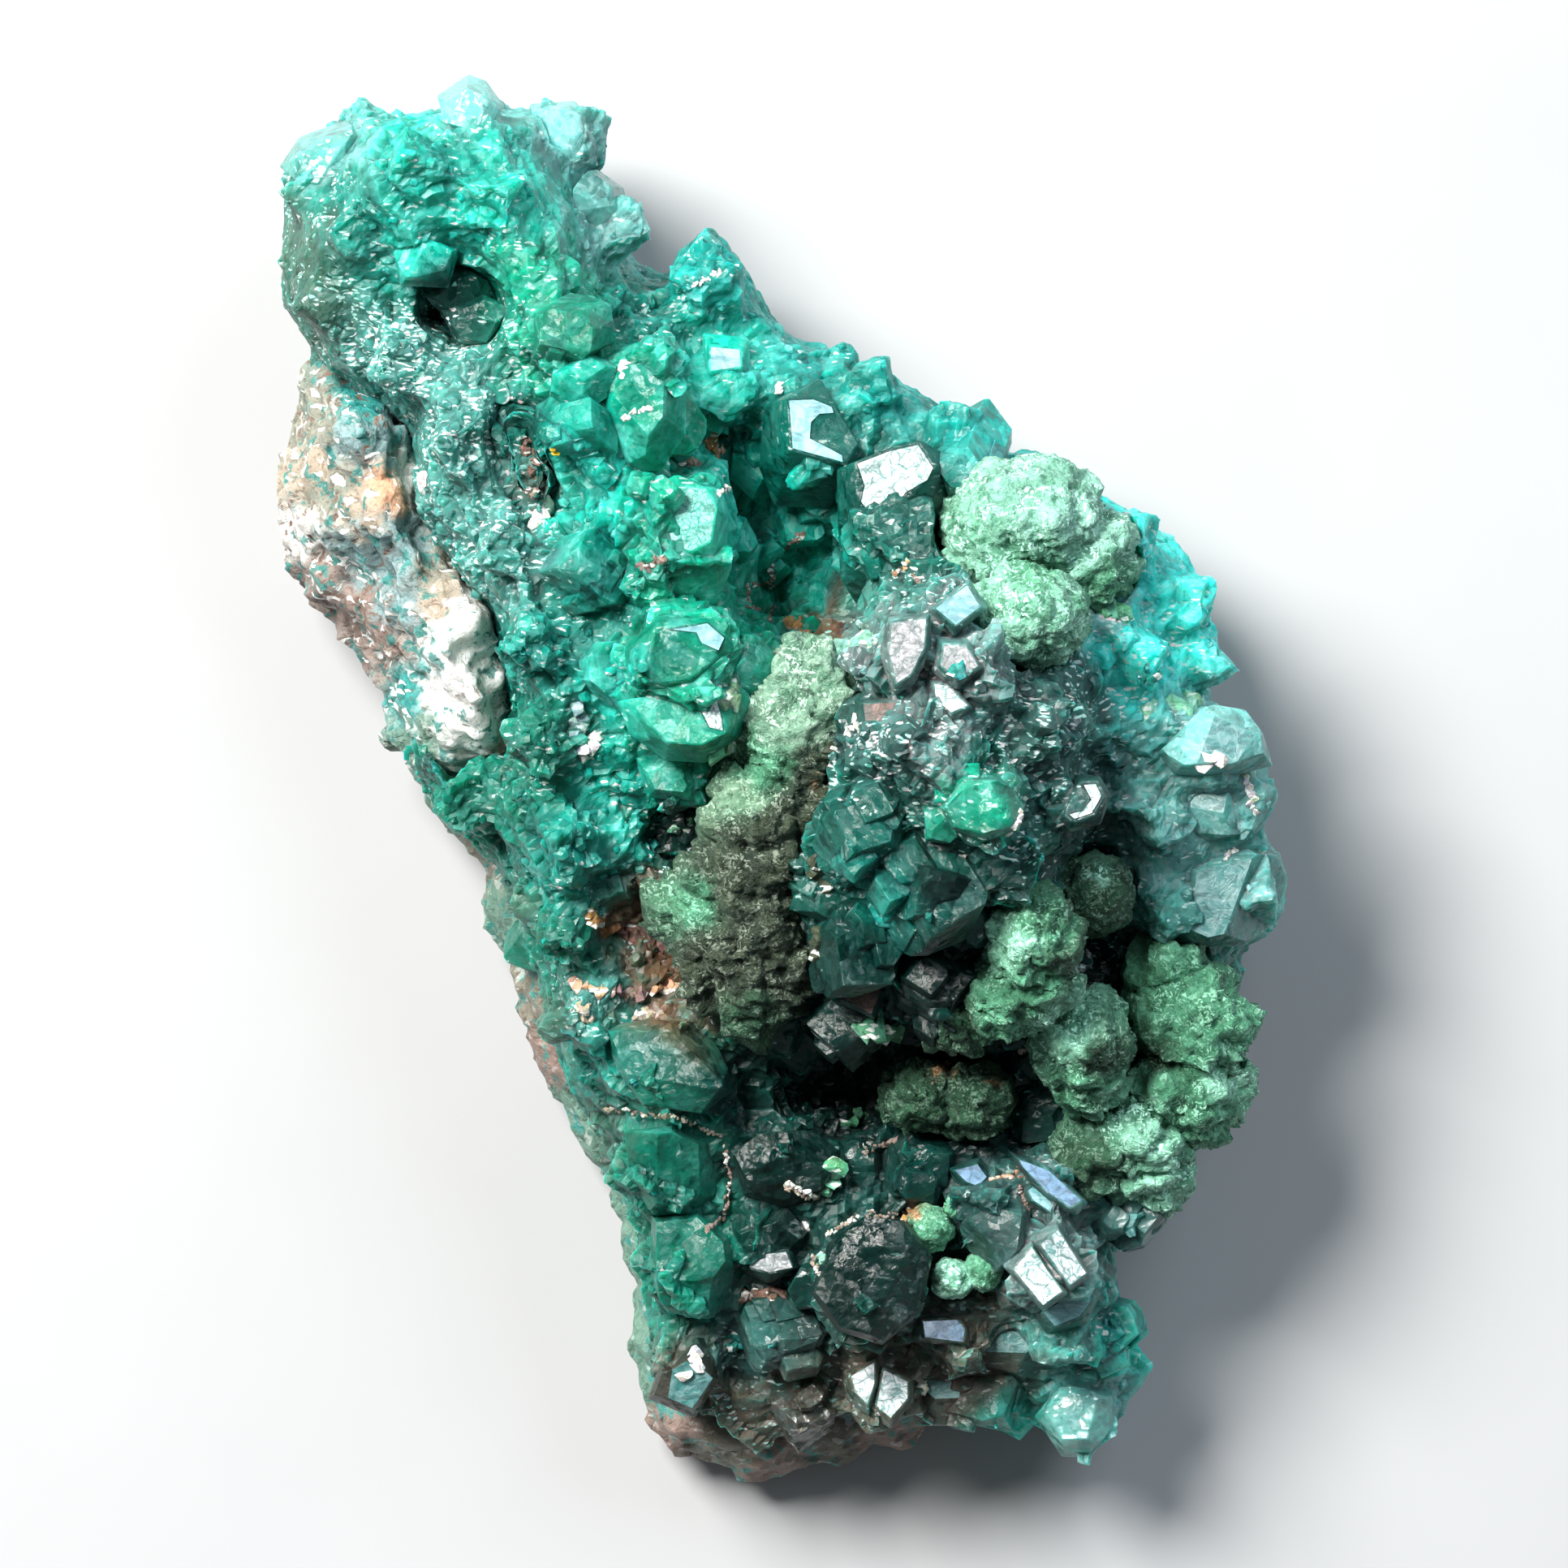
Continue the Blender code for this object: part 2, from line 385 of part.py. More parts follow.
def relief(points, heights, sharpness=4.0, floor=0.02):
    """Height at each point, where the nearest of the given heights counts most."""
    rows = np.array([row for group in heights.values() for row in group])
    away = np.sqrt(((points[:, None, :] - rows[None, :, :2]) ** 2).sum(axis=2))
    weight = 1.0 / (floor + (away / rows[:, 3]) ** sharpness)
    return (weight * rows[:, 2]).sum(axis=1) / weight.sum(axis=1)


def rounded(distance, width):
    """From 0 at an edge to 1 one width inside it, along a quarter circle."""
    return np.sqrt(1.0 - (1.0 - np.clip(distance / width, 0.0, 1.0)) ** 2)


def roughness_at(points, edge, amount, grain):
    """Uneven height of the sheet, which fades out towards its edge."""
    uneven = np.array([amount * noise.noise((x / grain, y / grain, amount)) for x, y in points])
    return uneven * np.clip(edge / ROUGHNESS_FADE, 0.0, 1.0)


def outward_normals(outline):
    """At each corner of the outline, the mean normal of its two sides."""
    ring = np.array(outline)
    tangent = np.roll(ring, -1, axis=0) - np.roll(ring, 1, axis=0)
    outward = np.stack([-tangent[:, 1], tangent[:, 0]], axis=1)
    outward /= np.linalg.norm(outward, axis=1)[:, None]
    clockwise = (ring[:, 0] * tangent[:, 1] - ring[:, 1] * tangent[:, 0]).sum() < 0
    return outward if clockwise else -outward


def scattered_points(outline, step):
    """Points inside the outline: a ring beside its edge, then rows with each second one shifted."""
    corners = np.array(outline)
    rows = []
    height = step * math.sqrt(3) / 2
    low, high = corners.min(axis=0), corners.max(axis=0)
    for row in range(int((high[1] - low[1]) / height) + 1):
        shift = 0.5 * step * (row % 2)
        rows += [(x + shift, low[1] + row * height) for x in np.arange(low[0], high[0], step)]
    grid = np.array(rows)
    wander = [noise.noise_vector((x, y, step)) for x, y in rows]
    grid += POINT_WANDER * step * np.array(wander)[:, :2]
    keep = is_inside(grid, outline) & (edge_distance(grid, outline) > INNER_MARGIN * step)
    near = corners - RING_INSET * step * outward_normals(outline)
    near_keep = is_inside(near, outline) & (edge_distance(near, outline) > RING_MARGIN * step)
    return np.concatenate([near[near_keep], grid[keep]])


def triangulated(outline, inner):
    corners = [Vector(point) for point in outline] + [Vector(point) for point in inner]
    sides = [(i, (i + 1) % len(outline)) for i in range(len(outline))]
    points, _, faces, *_ = geometry.delaunay_2d_cdt(corners, sides, [], 1, MERGE_WITHIN)
    return np.array(points), faces


def closed_relief(outline, top, bottom, top_step, bottom_step, grow=0.0):
    """A closed solid between two uneven sheets that share the outline, grown on every side."""
    mesh_data = bmesh.new()
    moved = grow * outward_normals(outline)
    loops = []
    for height, step, side in ((top, top_step, 1), (bottom, bottom_step, -1)):
        points, faces = triangulated(outline, scattered_points(outline, step))
        levels = height(points) + side * grow
        points[: len(outline)] += moved
        verts = [mesh_data.verts.new((x, y, z)) for (x, y), z in zip(points, levels)]
        for face in faces:
            corners = [verts[i] for i in face]
            mesh_data.faces.new(corners[::side])
        loops.append(verts[: len(outline)])
    upper, lower = loops
    for i in range(len(outline)):
        j = (i + 1) % len(outline)
        mesh_data.faces.new((upper[i], upper[j], lower[j], lower[i]))
    bmesh.ops.remove_doubles(mesh_data, verts=mesh_data.verts, dist=MERGE_WITHIN)
    bmesh.ops.triangulate(mesh_data, faces=mesh_data.faces)
    return mesh_data


def rock_solid(name, collection, material, grow):
    """The host rock. As a cutter it grows by the gap and reaches below the resting face."""

    def top(points):
        edge = edge_distance(points, ROCK_OUTLINE)
        level = relief(points, ROCK_HEIGHTS)
        low = EDGE_SHARE * level
        level += roughness_at(points, edge, ROCK_ROUGHNESS, ROCK_STEP)
        return low + (level - low) * rounded(edge, ROCK_ROUNDING)

    def bottom(points):
        if grow:
            return np.full(len(points), -CUT_DEPTH)
        edge = edge_distance(points, ROCK_OUTLINE)
        low = EDGE_SHARE * relief(points, ROCK_HEIGHTS)
        return low * (1.0 - rounded(edge, UNDERSIDE_ROUNDING))

    mesh_data = closed_relief(ROCK_OUTLINE, top, bottom, ROCK_STEP, UNDERSIDE_STEP, grow)
    return make_object(name, mesh_data, collection, material)


def crust_solid(name, collection, material):
    """The crystal crust before its crystals are joined to it."""
    outline = CRUST_OUTLINE

    def top(points):
        edge = edge_distance(points, outline)
        level = relief(points, CRUST_HEIGHTS)
        level += roughness_at(points, edge, CRUST_ROUGHNESS, CRUST_STEP)
        low = EDGE_SHARE * relief(points, CRUST_HEIGHTS)
        return low + (level - low) * rounded(edge, CRUST_ROUNDING)

    def bottom(points):
        edge = edge_distance(points, outline)
        low = EDGE_SHARE * relief(points, CRUST_HEIGHTS)
        curve = 1.0 - rounded(edge, UNDERSIDE_ROUNDING)
        return CRUST_LIFT + (low - CRUST_LIFT) * curve

    mesh_data = closed_relief(outline, top, bottom, CRUST_STEP, UNDERSIDE_STEP)
    return make_object(name, mesh_data, collection, material)


def ridge_solid(name, collection, material, grow):
    """The crust along the ridge. As a cutter it grows by the gap."""

    def top(points):
        level = relief(points, RIDGE_HEIGHTS)
        low = level - RIDGE_THICKNESS + RIDGE_EDGE
        edge = edge_distance(points, RIDGE_OUTLINE)
        level += roughness_at(points, edge, RIDGE_ROUGHNESS, RIDGE_STEP)
        return low + (level - low) * rounded(edge, RIDGE_ROUNDING)

    def bottom(points):
        edge = edge_distance(points, RIDGE_OUTLINE)
        low = relief(points, RIDGE_HEIGHTS) - RIDGE_THICKNESS
        return low + RIDGE_EDGE * (1.0 - rounded(edge, RIDGE_ROUNDING))

    mesh_data = closed_relief(RIDGE_OUTLINE, top, bottom, RIDGE_STEP, RIDGE_STEP, grow)
    return make_object(name, mesh_data, collection, material)


def flank_rows():
    """Crystals that point outwards all round the crust, with their tips near its outline."""
    chance = random.Random(FLANK_SEED)
    ring = np.array(CRUST_OUTLINE)
    normals = outward_normals(CRUST_OUTLINE)
    heights = relief(ring - FLANK_RELIEF_INSET * normals, CRUST_HEIGHTS)
    travelled = 0.0
    rows = []
    for corner, before, outward, height in zip(ring, np.roll(ring, 1, axis=0), normals, heights):
        travelled += float(np.linalg.norm(corner - before))
        in_band = all(low < v < high for v, (low, high) in zip(corner, BARE_BAND))
        if travelled < FLANK_SPACING or in_band:
            continue
        travelled = 0.0
        width = chance.uniform(*FLANK_WIDTHS)
        x, y = corner - FLANK_INSET * outward
        z = height * chance.uniform(*FLANK_LEVELS)
        direction = math.degrees(math.atan2(outward[1], outward[0]))
        lean = chance.uniform(*FLANK_LEANS)
        turn = chance.uniform(0, 360 / PRISM_FACES)
        rows.append((x, y, z, width, width, direction, lean, turn))
    return rows


def cut_away(mesh_data, point, normal):
    """Cuts a convex solid by a plane, drops what is outside and closes the cut."""
    every = mesh_data.verts[:] + mesh_data.edges[:] + mesh_data.faces[:]
    cut = bmesh.ops.bisect_plane(
        mesh_data,
        geom=every,
        dist=MERGE_WITHIN,
        plane_co=point,
        plane_no=normal,
        clear_outer=True,
    )
    rim = [item for item in cut["geom_cut"] if isinstance(item, bmesh.types.BMEdge)]
    if len(rim) > 2:
        bmesh.ops.contextual_create(mesh_data, geom=rim)


def crystal_solid(name, collection, x, y, z, width, length, direction, lean, turn):
    """One dioptase crystal: a six-sided prism with a three-faced rhombohedral end."""
    mesh_data = bmesh.new()
    bmesh.ops.create_cube(mesh_data, size=2.0 * (width + length))
    for i in range(PRISM_FACES):
        angle = 2.0 * math.pi * i / PRISM_FACES
        normal = Vector((math.cos(angle), math.sin(angle), 0.0))
        cut_away(mesh_data, 0.5 * width * normal, normal)
    reach = TIP_REACH * length * math.cos(RHOMB_TILT)
    for end in (1, -1):
        for i in range(RHOMB_FACES):
            angle = math.pi / PRISM_FACES + 2.0 * math.pi * i / RHOMB_FACES
            if end < 0:
                angle += math.pi
            side = math.sin(RHOMB_TILT)
            normal = Vector(
                (side * math.cos(angle), side * math.sin(angle), end * math.cos(RHOMB_TILT))
            )
            cut_away(mesh_data, reach * normal, normal)
    pose = (
        Matrix.Translation((x, y, z))
        @ Matrix.Rotation(math.radians(direction), 4, "Z")
        @ Matrix.Rotation(math.radians(lean), 4, "Y")
        @ Matrix.Rotation(math.radians(turn), 4, "Z")
        @ Matrix.Translation((0.0, 0.0, -SEAT * length))
    )
    bmesh.ops.transform(mesh_data, matrix=pose, verts=mesh_data.verts)
    return make_object(name, mesh_data, collection)


def ball_solid(name, collection, ball, grow, material=None):
    """One rough ball. As a cutter it is larger by the gap."""
    x, y, z, half_x, half_y, half_z = ball
    mesh_data = bmesh.new()
    detail = POCKET_DETAIL if grow or max(half_x, half_y) < BEAD_WIDTH else BALL_DETAIL
    bmesh.ops.create_icosphere(mesh_data, subdivisions=detail, radius=1.0)
    for vert in mesh_data.verts:
        out = vert.co.normalized()
        bump = MALACHITE_ROUGHNESS * noise.noise(MALACHITE_LUMPS * out + Vector((x, y, z)))
        half = Vector((half_x + grow, half_y + grow, half_z + grow))
        vert.co = Vector(map(lambda a, b: a * b, out, half)) * (1.0 + bump) + Vector((x, y, z))
    return make_object(name, mesh_data, collection, material)


def join_to(target, others, operation="UNION"):
    """A Boolean of the target with a collection of other solids."""
    modifier = target.modifiers.new(operation.lower(), "BOOLEAN")
    modifier.operation = operation
    modifier.solver = "EXACT"
    modifier.operand_type = "COLLECTION"
    modifier.collection = others
    return modifier


def fewer_facets(target, share):
    modifier = target.modifiers.new("fewer facets", "DECIMATE")
    modifier.ratio = share


def build():
    clear_scene()
    noise.seed_set(POINT_SEED)
    parts = make_collection(OBJECT_NAME, True)
    rock_material = make_material("host_rock")
    dioptase_material = make_material("dioptase")
    malachite_material = make_material("malachite")

    rock_solid("host_rock", parts, rock_material, 0.0)
    dioptase = crust_solid("dioptase", parts, dioptase_material)

    crystals = make_collection("crystals", False)
    for place, rows in CRYSTALS.items():
        for number, row in enumerate(rows):
            crystal_solid(f"{place} crystal {number}", crystals, *row)
    for number, row in enumerate(flank_rows()):
        crystal_solid(f"flank crystal {number}", crystals, *row)
    join_to(dioptase, crystals)
    fewer_facets(dioptase, CRUST_SHARE)

    cutters = make_collection("cutters", False)
    rock_solid("rock_pocket", cutters, None, GAP)
    for name, balls in MALACHITE.items():
        others = make_collection(f"{name}_parts", False)
        for number, ball in enumerate(balls):
            ball_solid(f"{name}_pocket_{number}", cutters, ball, BALL_GAP)
            if number:
                ball_solid(f"{name}_part_{number}", others, ball, 0.0)
        node = ball_solid(name, parts, balls[0], 0.0, malachite_material)
        if len(balls) > 1:
            join_to(node, others)
            fewer_facets(node, MALACHITE_SHARE)
    ridge_solid("malachite_ridge", parts, malachite_material, 0.0)
    ridge_solid("ridge_pocket", cutters, None, GAP)
    join_to(dioptase, cutters, "DIFFERENCE")


build()
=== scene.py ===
import json
import math
import random

import bmesh
import bpy
import numpy as np
from mathutils import Euler, Matrix, Vector, noise
from mathutils.bvhtree import BVHTree

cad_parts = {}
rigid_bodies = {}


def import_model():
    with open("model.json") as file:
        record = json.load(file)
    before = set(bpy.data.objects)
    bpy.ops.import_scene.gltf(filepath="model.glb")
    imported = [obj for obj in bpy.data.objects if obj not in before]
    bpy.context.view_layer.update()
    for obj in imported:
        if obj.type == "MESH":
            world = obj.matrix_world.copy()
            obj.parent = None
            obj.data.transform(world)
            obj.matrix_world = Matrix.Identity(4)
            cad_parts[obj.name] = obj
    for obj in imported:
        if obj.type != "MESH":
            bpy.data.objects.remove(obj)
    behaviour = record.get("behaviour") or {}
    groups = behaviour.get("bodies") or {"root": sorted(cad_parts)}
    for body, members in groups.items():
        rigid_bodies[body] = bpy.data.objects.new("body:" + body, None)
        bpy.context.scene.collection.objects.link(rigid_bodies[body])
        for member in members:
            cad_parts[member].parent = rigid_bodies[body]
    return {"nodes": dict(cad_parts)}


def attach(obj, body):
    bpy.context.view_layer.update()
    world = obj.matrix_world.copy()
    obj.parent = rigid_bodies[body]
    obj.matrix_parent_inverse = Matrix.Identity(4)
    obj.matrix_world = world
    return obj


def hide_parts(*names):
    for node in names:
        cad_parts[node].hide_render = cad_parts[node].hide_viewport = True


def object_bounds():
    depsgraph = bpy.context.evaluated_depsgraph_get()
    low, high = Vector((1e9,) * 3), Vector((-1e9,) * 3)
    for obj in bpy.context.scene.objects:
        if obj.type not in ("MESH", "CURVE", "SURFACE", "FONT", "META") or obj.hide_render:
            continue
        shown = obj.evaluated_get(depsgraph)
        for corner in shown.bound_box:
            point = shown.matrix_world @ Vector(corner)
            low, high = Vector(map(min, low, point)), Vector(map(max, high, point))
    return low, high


# Dioptase crystals on host rock with malachite, seen from straight above.
# Places are in millimetres, in the frame's own axes. Meshes are made in metres.

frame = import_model()
cadBox = [list(corner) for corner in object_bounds()]
mm = 0.001
print("frame loaded")


# colours, from the deep hollows to the sunlit rims; black is painted shadow, deep is partly the crystal's
# own dark teal and partly painted shade, and violet is a painted sheen

tones = {
    "painted_shadow_black": (0.001, 0.012, 0.010),
    "deep": (0.002, 0.035, 0.028),
    "bottle": (0.003, 0.080, 0.062),
    "slate": (0.050, 0.190, 0.165),
    "teal": (0.003, 0.175, 0.135),
    "pine": (0.001, 0.130, 0.085),
    "storm": (0.028, 0.085, 0.078),
    "emerald": (0.001, 0.240, 0.145),
    "bright": (0.004, 0.340, 0.260),
    "cyan": (0.006, 0.260, 0.228),
    "glow": (0.024, 0.540, 0.480),
    "smoky": (0.130, 0.320, 0.300),
    "mist": (0.050, 0.125, 0.090),
    "painted_violet_sheen": (0.120, 0.165, 0.160),
    "brown": (0.130, 0.075, 0.040),
    "umber": (0.098, 0.092, 0.068),
    # malachite
    "mint": (0.320, 0.670, 0.520),
    "jade": (0.280, 0.640, 0.460),
    "moss": (0.095, 0.360, 0.205),
    "fern": (0.010, 0.080, 0.032),
    "sage": (0.190, 0.340, 0.220),
    "lichen": (0.250, 0.430, 0.310),
    "loam": (0.034, 0.052, 0.024),
    "rust": (0.400, 0.190, 0.070),
    "gold": (0.800, 0.560, 0.020),
    # host rock
    "chalk": (0.800, 0.800, 0.760),
    "white": (0.930, 0.930, 0.900),
    "dust": (0.250, 0.260, 0.210),
    "fog": (0.125, 0.240, 0.185),
    "blush": (0.190, 0.185, 0.145),
    "cream": (0.400, 0.340, 0.265),
    "greyBlue": (0.230, 0.360, 0.370),
    "rose": (0.260, 0.190, 0.160),
    "peach": (0.620, 0.350, 0.220),
    "tealStain": (0.020, 0.280, 0.260),
    "redBrown": (0.190, 0.110, 0.085),
}

toneSpots = {
    "knob": [
        (-13.6, 23.4, 2.6, "bright"), (-10.8, 22.6, 2.2, "bright"), (-16.6, 22.4, 1.8, "teal"),
        (-18.8, 21.4, 1.4, "mist"), (-18.6, 18.6, 1.4, "mist"), (-17.6, 25.2, 1.3, "smoky"),
        (-12.2, 26.6, 1.3, "smoky"), (-8.4, 25.4, 1.6, "smoky"), (-6.8, 22.2, 1.5, "smoky"),
        (-14.4, 20.9, 1.6, "bright"), (-10.0, 20.4, 1.6, "emerald"),
    ],
    "left wall": [
        (-15.6, 17.0, 1.6, "slate"), (-13.2, 14.6, 1.8, "slate"), (-12.2, 11.4, 1.8, "slate"),
        (-10.6, 8.2, 1.6, "slate"), (-9.6, 5.2, 1.8, "teal"), (-9.2, 1.6, 2.0, "pine"),
        (-11.8, -0.6, 1.8, "pine"), (-8.6, -2.6, 1.8, "teal"), (-8.6, -6.0, 1.6, "pine"),
        (-10.8, -5.2, 1.0, "mist"), (-9.4, -9.6, 1.2, "mist"), (-7.2, -10.6, 1.2, "teal"),
        (-7.6, -14.0, 1.2, "mist"),
    ],
    # painted shade: the deep spot darkens the upper cleft; umber is a stain
    "clefts": [(-13.2, 19.2, 1.5, "deep"), (-10.3, 13.8, 1.1, "bottle"), (-10.2, 11.6, 0.8, "umber")],
    "inner column": [
        (-8.6, 17.4, 1.6, "emerald"), (-7.6, 13.6, 1.6, "bright"), (-5.2, 15.0, 1.6, "emerald"),
        (-7.0, 10.4, 1.5, "bright"), (-4.2, 9.6, 2.2, "emerald"), (-7.2, 7.6, 1.5, "teal"),
        (-3.9, 4.3, 2.6, "emerald"), (-6.8, 3.4, 1.5, "bright"), (-4.0, 0.4, 1.5, "emerald"),
        (-6.6, -0.6, 1.6, "bright"),
    ],
    "upper right wall": [
        (-5.6, 18.4, 1.3, "teal"), (-3.0, 20.4, 1.4, "cyan"), (-2.6, 16.2, 1.6, "bright"),
        (0.6, 17.0, 1.2, "cyan"), (4.0, 15.4, 1.2, "cyan"), (7.6, 13.6, 1.2, "cyan"),
        (1.3, 13.8, 1.8, "teal"), (4.4, 10.4, 2.4, "bottle"),
    ],
    "vug": [
        (-1.4, 11.0, 1.6, "bright"), (0.8, 8.8, 1.8, "bright"), (-0.6, 7.2, 1.2, "emerald"),
        # painted shade: the deep spot fills the small dark pit
        (1.6, 5.8, 0.8, "brown"), (2.3, 3.2, 0.8, "deep"),
    ],
    "shoulder": [
        (10.4, 12.2, 1.2, "cyan"), (14.2, 9.6, 1.5, "glow"), (15.8, 7.0, 1.6, "glow"),
        (14.2, 4.6, 1.3, "glow"), (12.6, 7.2, 1.0, "smoky"), (8.8, 8.0, 1.3, "smoky"),
    ],
    "middle lump": [
        # violet here is a painted sheen, and black beside the hollow is painted shadow
        (5.2, 5.2, 1.8, "painted_violet_sheen"), (6.4, 2.6, 2.2, "painted_violet_sheen"), (10.4, 2.6, 1.6, "storm"),
        (7.6, -0.9, 1.2, "emerald"), (3.2, -1.6, 1.7, "bottle"), (4.2, -4.8, 1.0, "teal"),
        (6.8, -3.6, 1.8, "deep"), (10.6, -0.6, 1.4, "storm"), (3.0, -7.0, 1.8, "deep"),
        (6.2, -7.6, 1.6, "painted_shadow_black"), (3.6, 1.2, 1.4, "storm"), (7.8, 1.4, 1.2, "bottle"),
    ],
    "pits beside the ridge": [
        # black is painted shadow in the pit; the brown spots are the stained faces
        (-4.0, -1.8, 1.2, "painted_shadow_black"), (-5.6, -5.8, 1.4, "brown"), (-4.8, -8.5, 1.6, "brown"),
        (-7.0, -8.0, 1.2, "slate"),
    ],
    "right block": [
        (16.6, 1.8, 1.6, "smoky"), (18.2, -0.8, 1.6, "smoky"), (18.2, -4.0, 1.8, "smoky"),
        # black beside the dark ball is painted shadow
        (15.6, -2.2, 1.6, "smoky"), (15.6, -5.4, 1.4, "slate"), (12.2, -6.8, 1.3, "painted_shadow_black"),
        (12.2, -2.4, 1.2, "deep"),
    ],
    "lower right": [
        (16.8, -9.6, 1.6, "mist"), (15.6, -13.0, 1.6, "mist"), (10.4, -11.6, 1.6, "deep"),
        (13.4, -16.2, 1.3, "smoky"),
    ],
    # painted shade: black and deep spots fill the hollow
    "hollow": [(2.6, -11.8, 1.8, "painted_shadow_black"), (6.4, -12.6, 1.8, "painted_shadow_black"), (0.6, -11.2, 1.2, "deep")],
    "lower blocks": [
        (-4.6, -11.4, 1.9, "pine"), (-1.8, -12.2, 1.3, "deep"), (-4.6, -15.2, 1.8, "pine"),
        (-4.2, -19.2, 2.0, "pine"), (-6.2, -18.4, 1.0, "mist"), (0.2, -15.2, 2.0, "deep"),
        (3.3, -19.4, 2.4, "deep"), (-0.4, -19.6, 1.7, "deep"), (7.8, -16.8, 1.8, "storm"),
        # violet here is a painted sheen
        (10.4, -18.8, 1.8, "painted_violet_sheen"), (11.4, -21.4, 1.5, "slate"), (13.2, -22.0, 1.2, "bright"),
        (12.0, -25.0, 1.5, "smoky"), (9.0, -25.2, 1.0, "bright"), (7.2, -22.6, 1.8, "umber"),
        (3.8, -24.0, 1.5, "umber"), (0.2, -25.2, 2.4, "umber"), (-3.8, -24.6, 1.6, "umber"),
        (-0.6, -22.2, 1.6, "storm"), (5.6, -15.2, 1.4, "deep"),
    ],
}


malachiteSpots = {
    "upper mounds": [
        (9.3, 10.5, 1.8, "mint"), (11.6, 9.4, 1.3, "mint"), (7.7, 10.2, 1.2, "jade"),
        (9.5, 6.5, 1.5, "jade"),
        (12.6, 7.8, 1.0, "moss"), (9.6, 8.0, 0.9, "moss"),
    ],
    # the fern tone on the dark ball is painted shadow: this ball lies in shadow
    "dark ball": [(12.1, -4.6, 1.5, "fern"), (12.3, -3.5, 0.4, "jade")],
    "middle lumps": [
        (8.9, -6.2, 0.9, "jade"), (10.3, -5.4, 1.0, "moss"), (9.6, -7.4, 1.0, "moss"),
        (8.4, -9.0, 1.0, "moss"),
        (6.8, -9.3, 0.9, "fern"), (10.6, -6.8, 0.8, "fern"),
    ],
    "lower lump": [(11.2, -9.6, 1.0, "jade"), (12.4, -10.6, 0.8, "fern"), (11.6, -11.6, 0.8, "moss")],
    "right lumps": [
        (16.0, -9.4, 1.6, "moss"), (15.6, -12.0, 1.5, "moss"), (14.0, -13.6, 1.2, "jade"),
        (14.2, -15.3, 1.0, "jade"),
        (12.3, -14.6, 1.0, "fern"), (15.2, -7.4, 1.0, "moss"), (14.6, -10.6, 0.9, "fern"),
        (17.2, -11.4, 0.8, "jade"),
    ],
    # the fern tone on the twin balls is painted shadow: they lie in shadow
    "twin balls": [
        (5.3, -12.2, 1.3, "fern"), (7.4, -12.4, 1.3, "fern"), (6.3, -11.2, 0.3, "rust"),
        (8.0, -11.7, 0.25, "rust"),
    ],
    "beads": [
        (6.6, -19.5, 0.7, "jade"), (7.9, -19.1, 0.6, "moss"), (5.8, -17.6, 0.7, "moss"),
        (5.0, -16.9, 0.3, "rust"),
    ],
    "ridge": [
        (0.7, 4.2, 1.3, "lichen"), (0.0, 2.6, 1.0, "lichen"), (-0.9, 1.0, 0.8, "moss"),
        (0.9, 0.6, 0.8, "loam"),
        (1.3, 0.2, 0.25, "rust"), (-1.6, -0.8, 0.7, "sage"), (-0.2, -2.4, 1.2, "loam"),
        (-1.2, -4.0, 1.3, "loam"),
        (-3.4, -4.6, 0.6, "moss"), (-2.2, -6.6, 1.0, "loam"), (-0.6, -7.4, 1.0, "loam"),
        (-1.0, -9.0, 0.8, "fern"),
    ],
}
rockSpots = {
    "band": [
        (-18.3, 14.6, 0.9, "dust"), (-16.8, 14.9, 0.8, "tealStain"), (-17.0, 13.6, 0.7, "greyBlue"),
        (-15.4, 13.8, 0.8, "greyBlue"), (-18.6, 12.4, 0.8, "cream"), (-17.8, 11.4, 0.9, "dust"),
        (-15.8, 11.5, 0.8, "peach"), (-16.8, 10.6, 0.8, "cream"), (-14.4, 11.7, 0.5, "chalk"),
        (-18.9, 10.0, 0.7, "chalk"), (-17.2, 9.0, 1.0, "greyBlue"), (-15.2, 9.2, 1.0, "greyBlue"),
        (-13.6, 8.6, 0.7, "dust"), (-18.2, 8.2, 0.8, "rose"), (-16.8, 6.9, 0.8, "rose"),
        (-15.4, 7.2, 0.8, "greyBlue"),
        (-13.6, 7.0, 0.8, "cream"), (-15.8, 5.4, 0.7, "rose"), (-13.7, 5.2, 0.45, "tealStain"),
        (-12.4, 5.6, 1.1, "white"), (-13.0, 3.8, 1.2, "white"), (-11.6, 3.2, 1.1, "white"),
        (-14.8, 3.6, 0.7, "tealStain"), (-12.4, 2.0, 1.0, "white"), (-14.4, 2.0, 0.7, "fog"),
        (-11.2, 1.2, 0.7, "cream"),
    ],
    "edge": [
        (-13.8, -0.8, 1.2, "fog"), (-12.6, -3.0, 1.2, "blush"), (-11.4, -5.4, 1.2, "fog"),
        (-10.4, -7.8, 1.2, "blush"),
        (-9.4, -10.6, 1.2, "rose"), (-8.2, -13.4, 1.4, "fog"), (-6.8, -16.4, 1.4, "fog"),
        (-6.2, -20.0, 1.8, "fog"),
        (-5.8, -23.4, 1.4, "fog"), (-4.6, -25.8, 1.2, "rose"), (-2.6, -27.0, 1.2, "blush"),
        (-0.6, -27.4, 1.2, "rose"),
        (1.8, -26.8, 1.4, "umber"), (4.4, -26.0, 1.2, "rose"), (7.6, -25.6, 1.4, "umber"),
    ],
}


def wandered(points, amount, size=1.4):
    # places moved about, so that borders between tones wind
    moved = points.copy()
    moved[:, 0] += amount * fractalAt(points, size, 3, 4.0)
    moved[:, 1] += amount * fractalAt(points, size, 3, 9.0)
    return moved


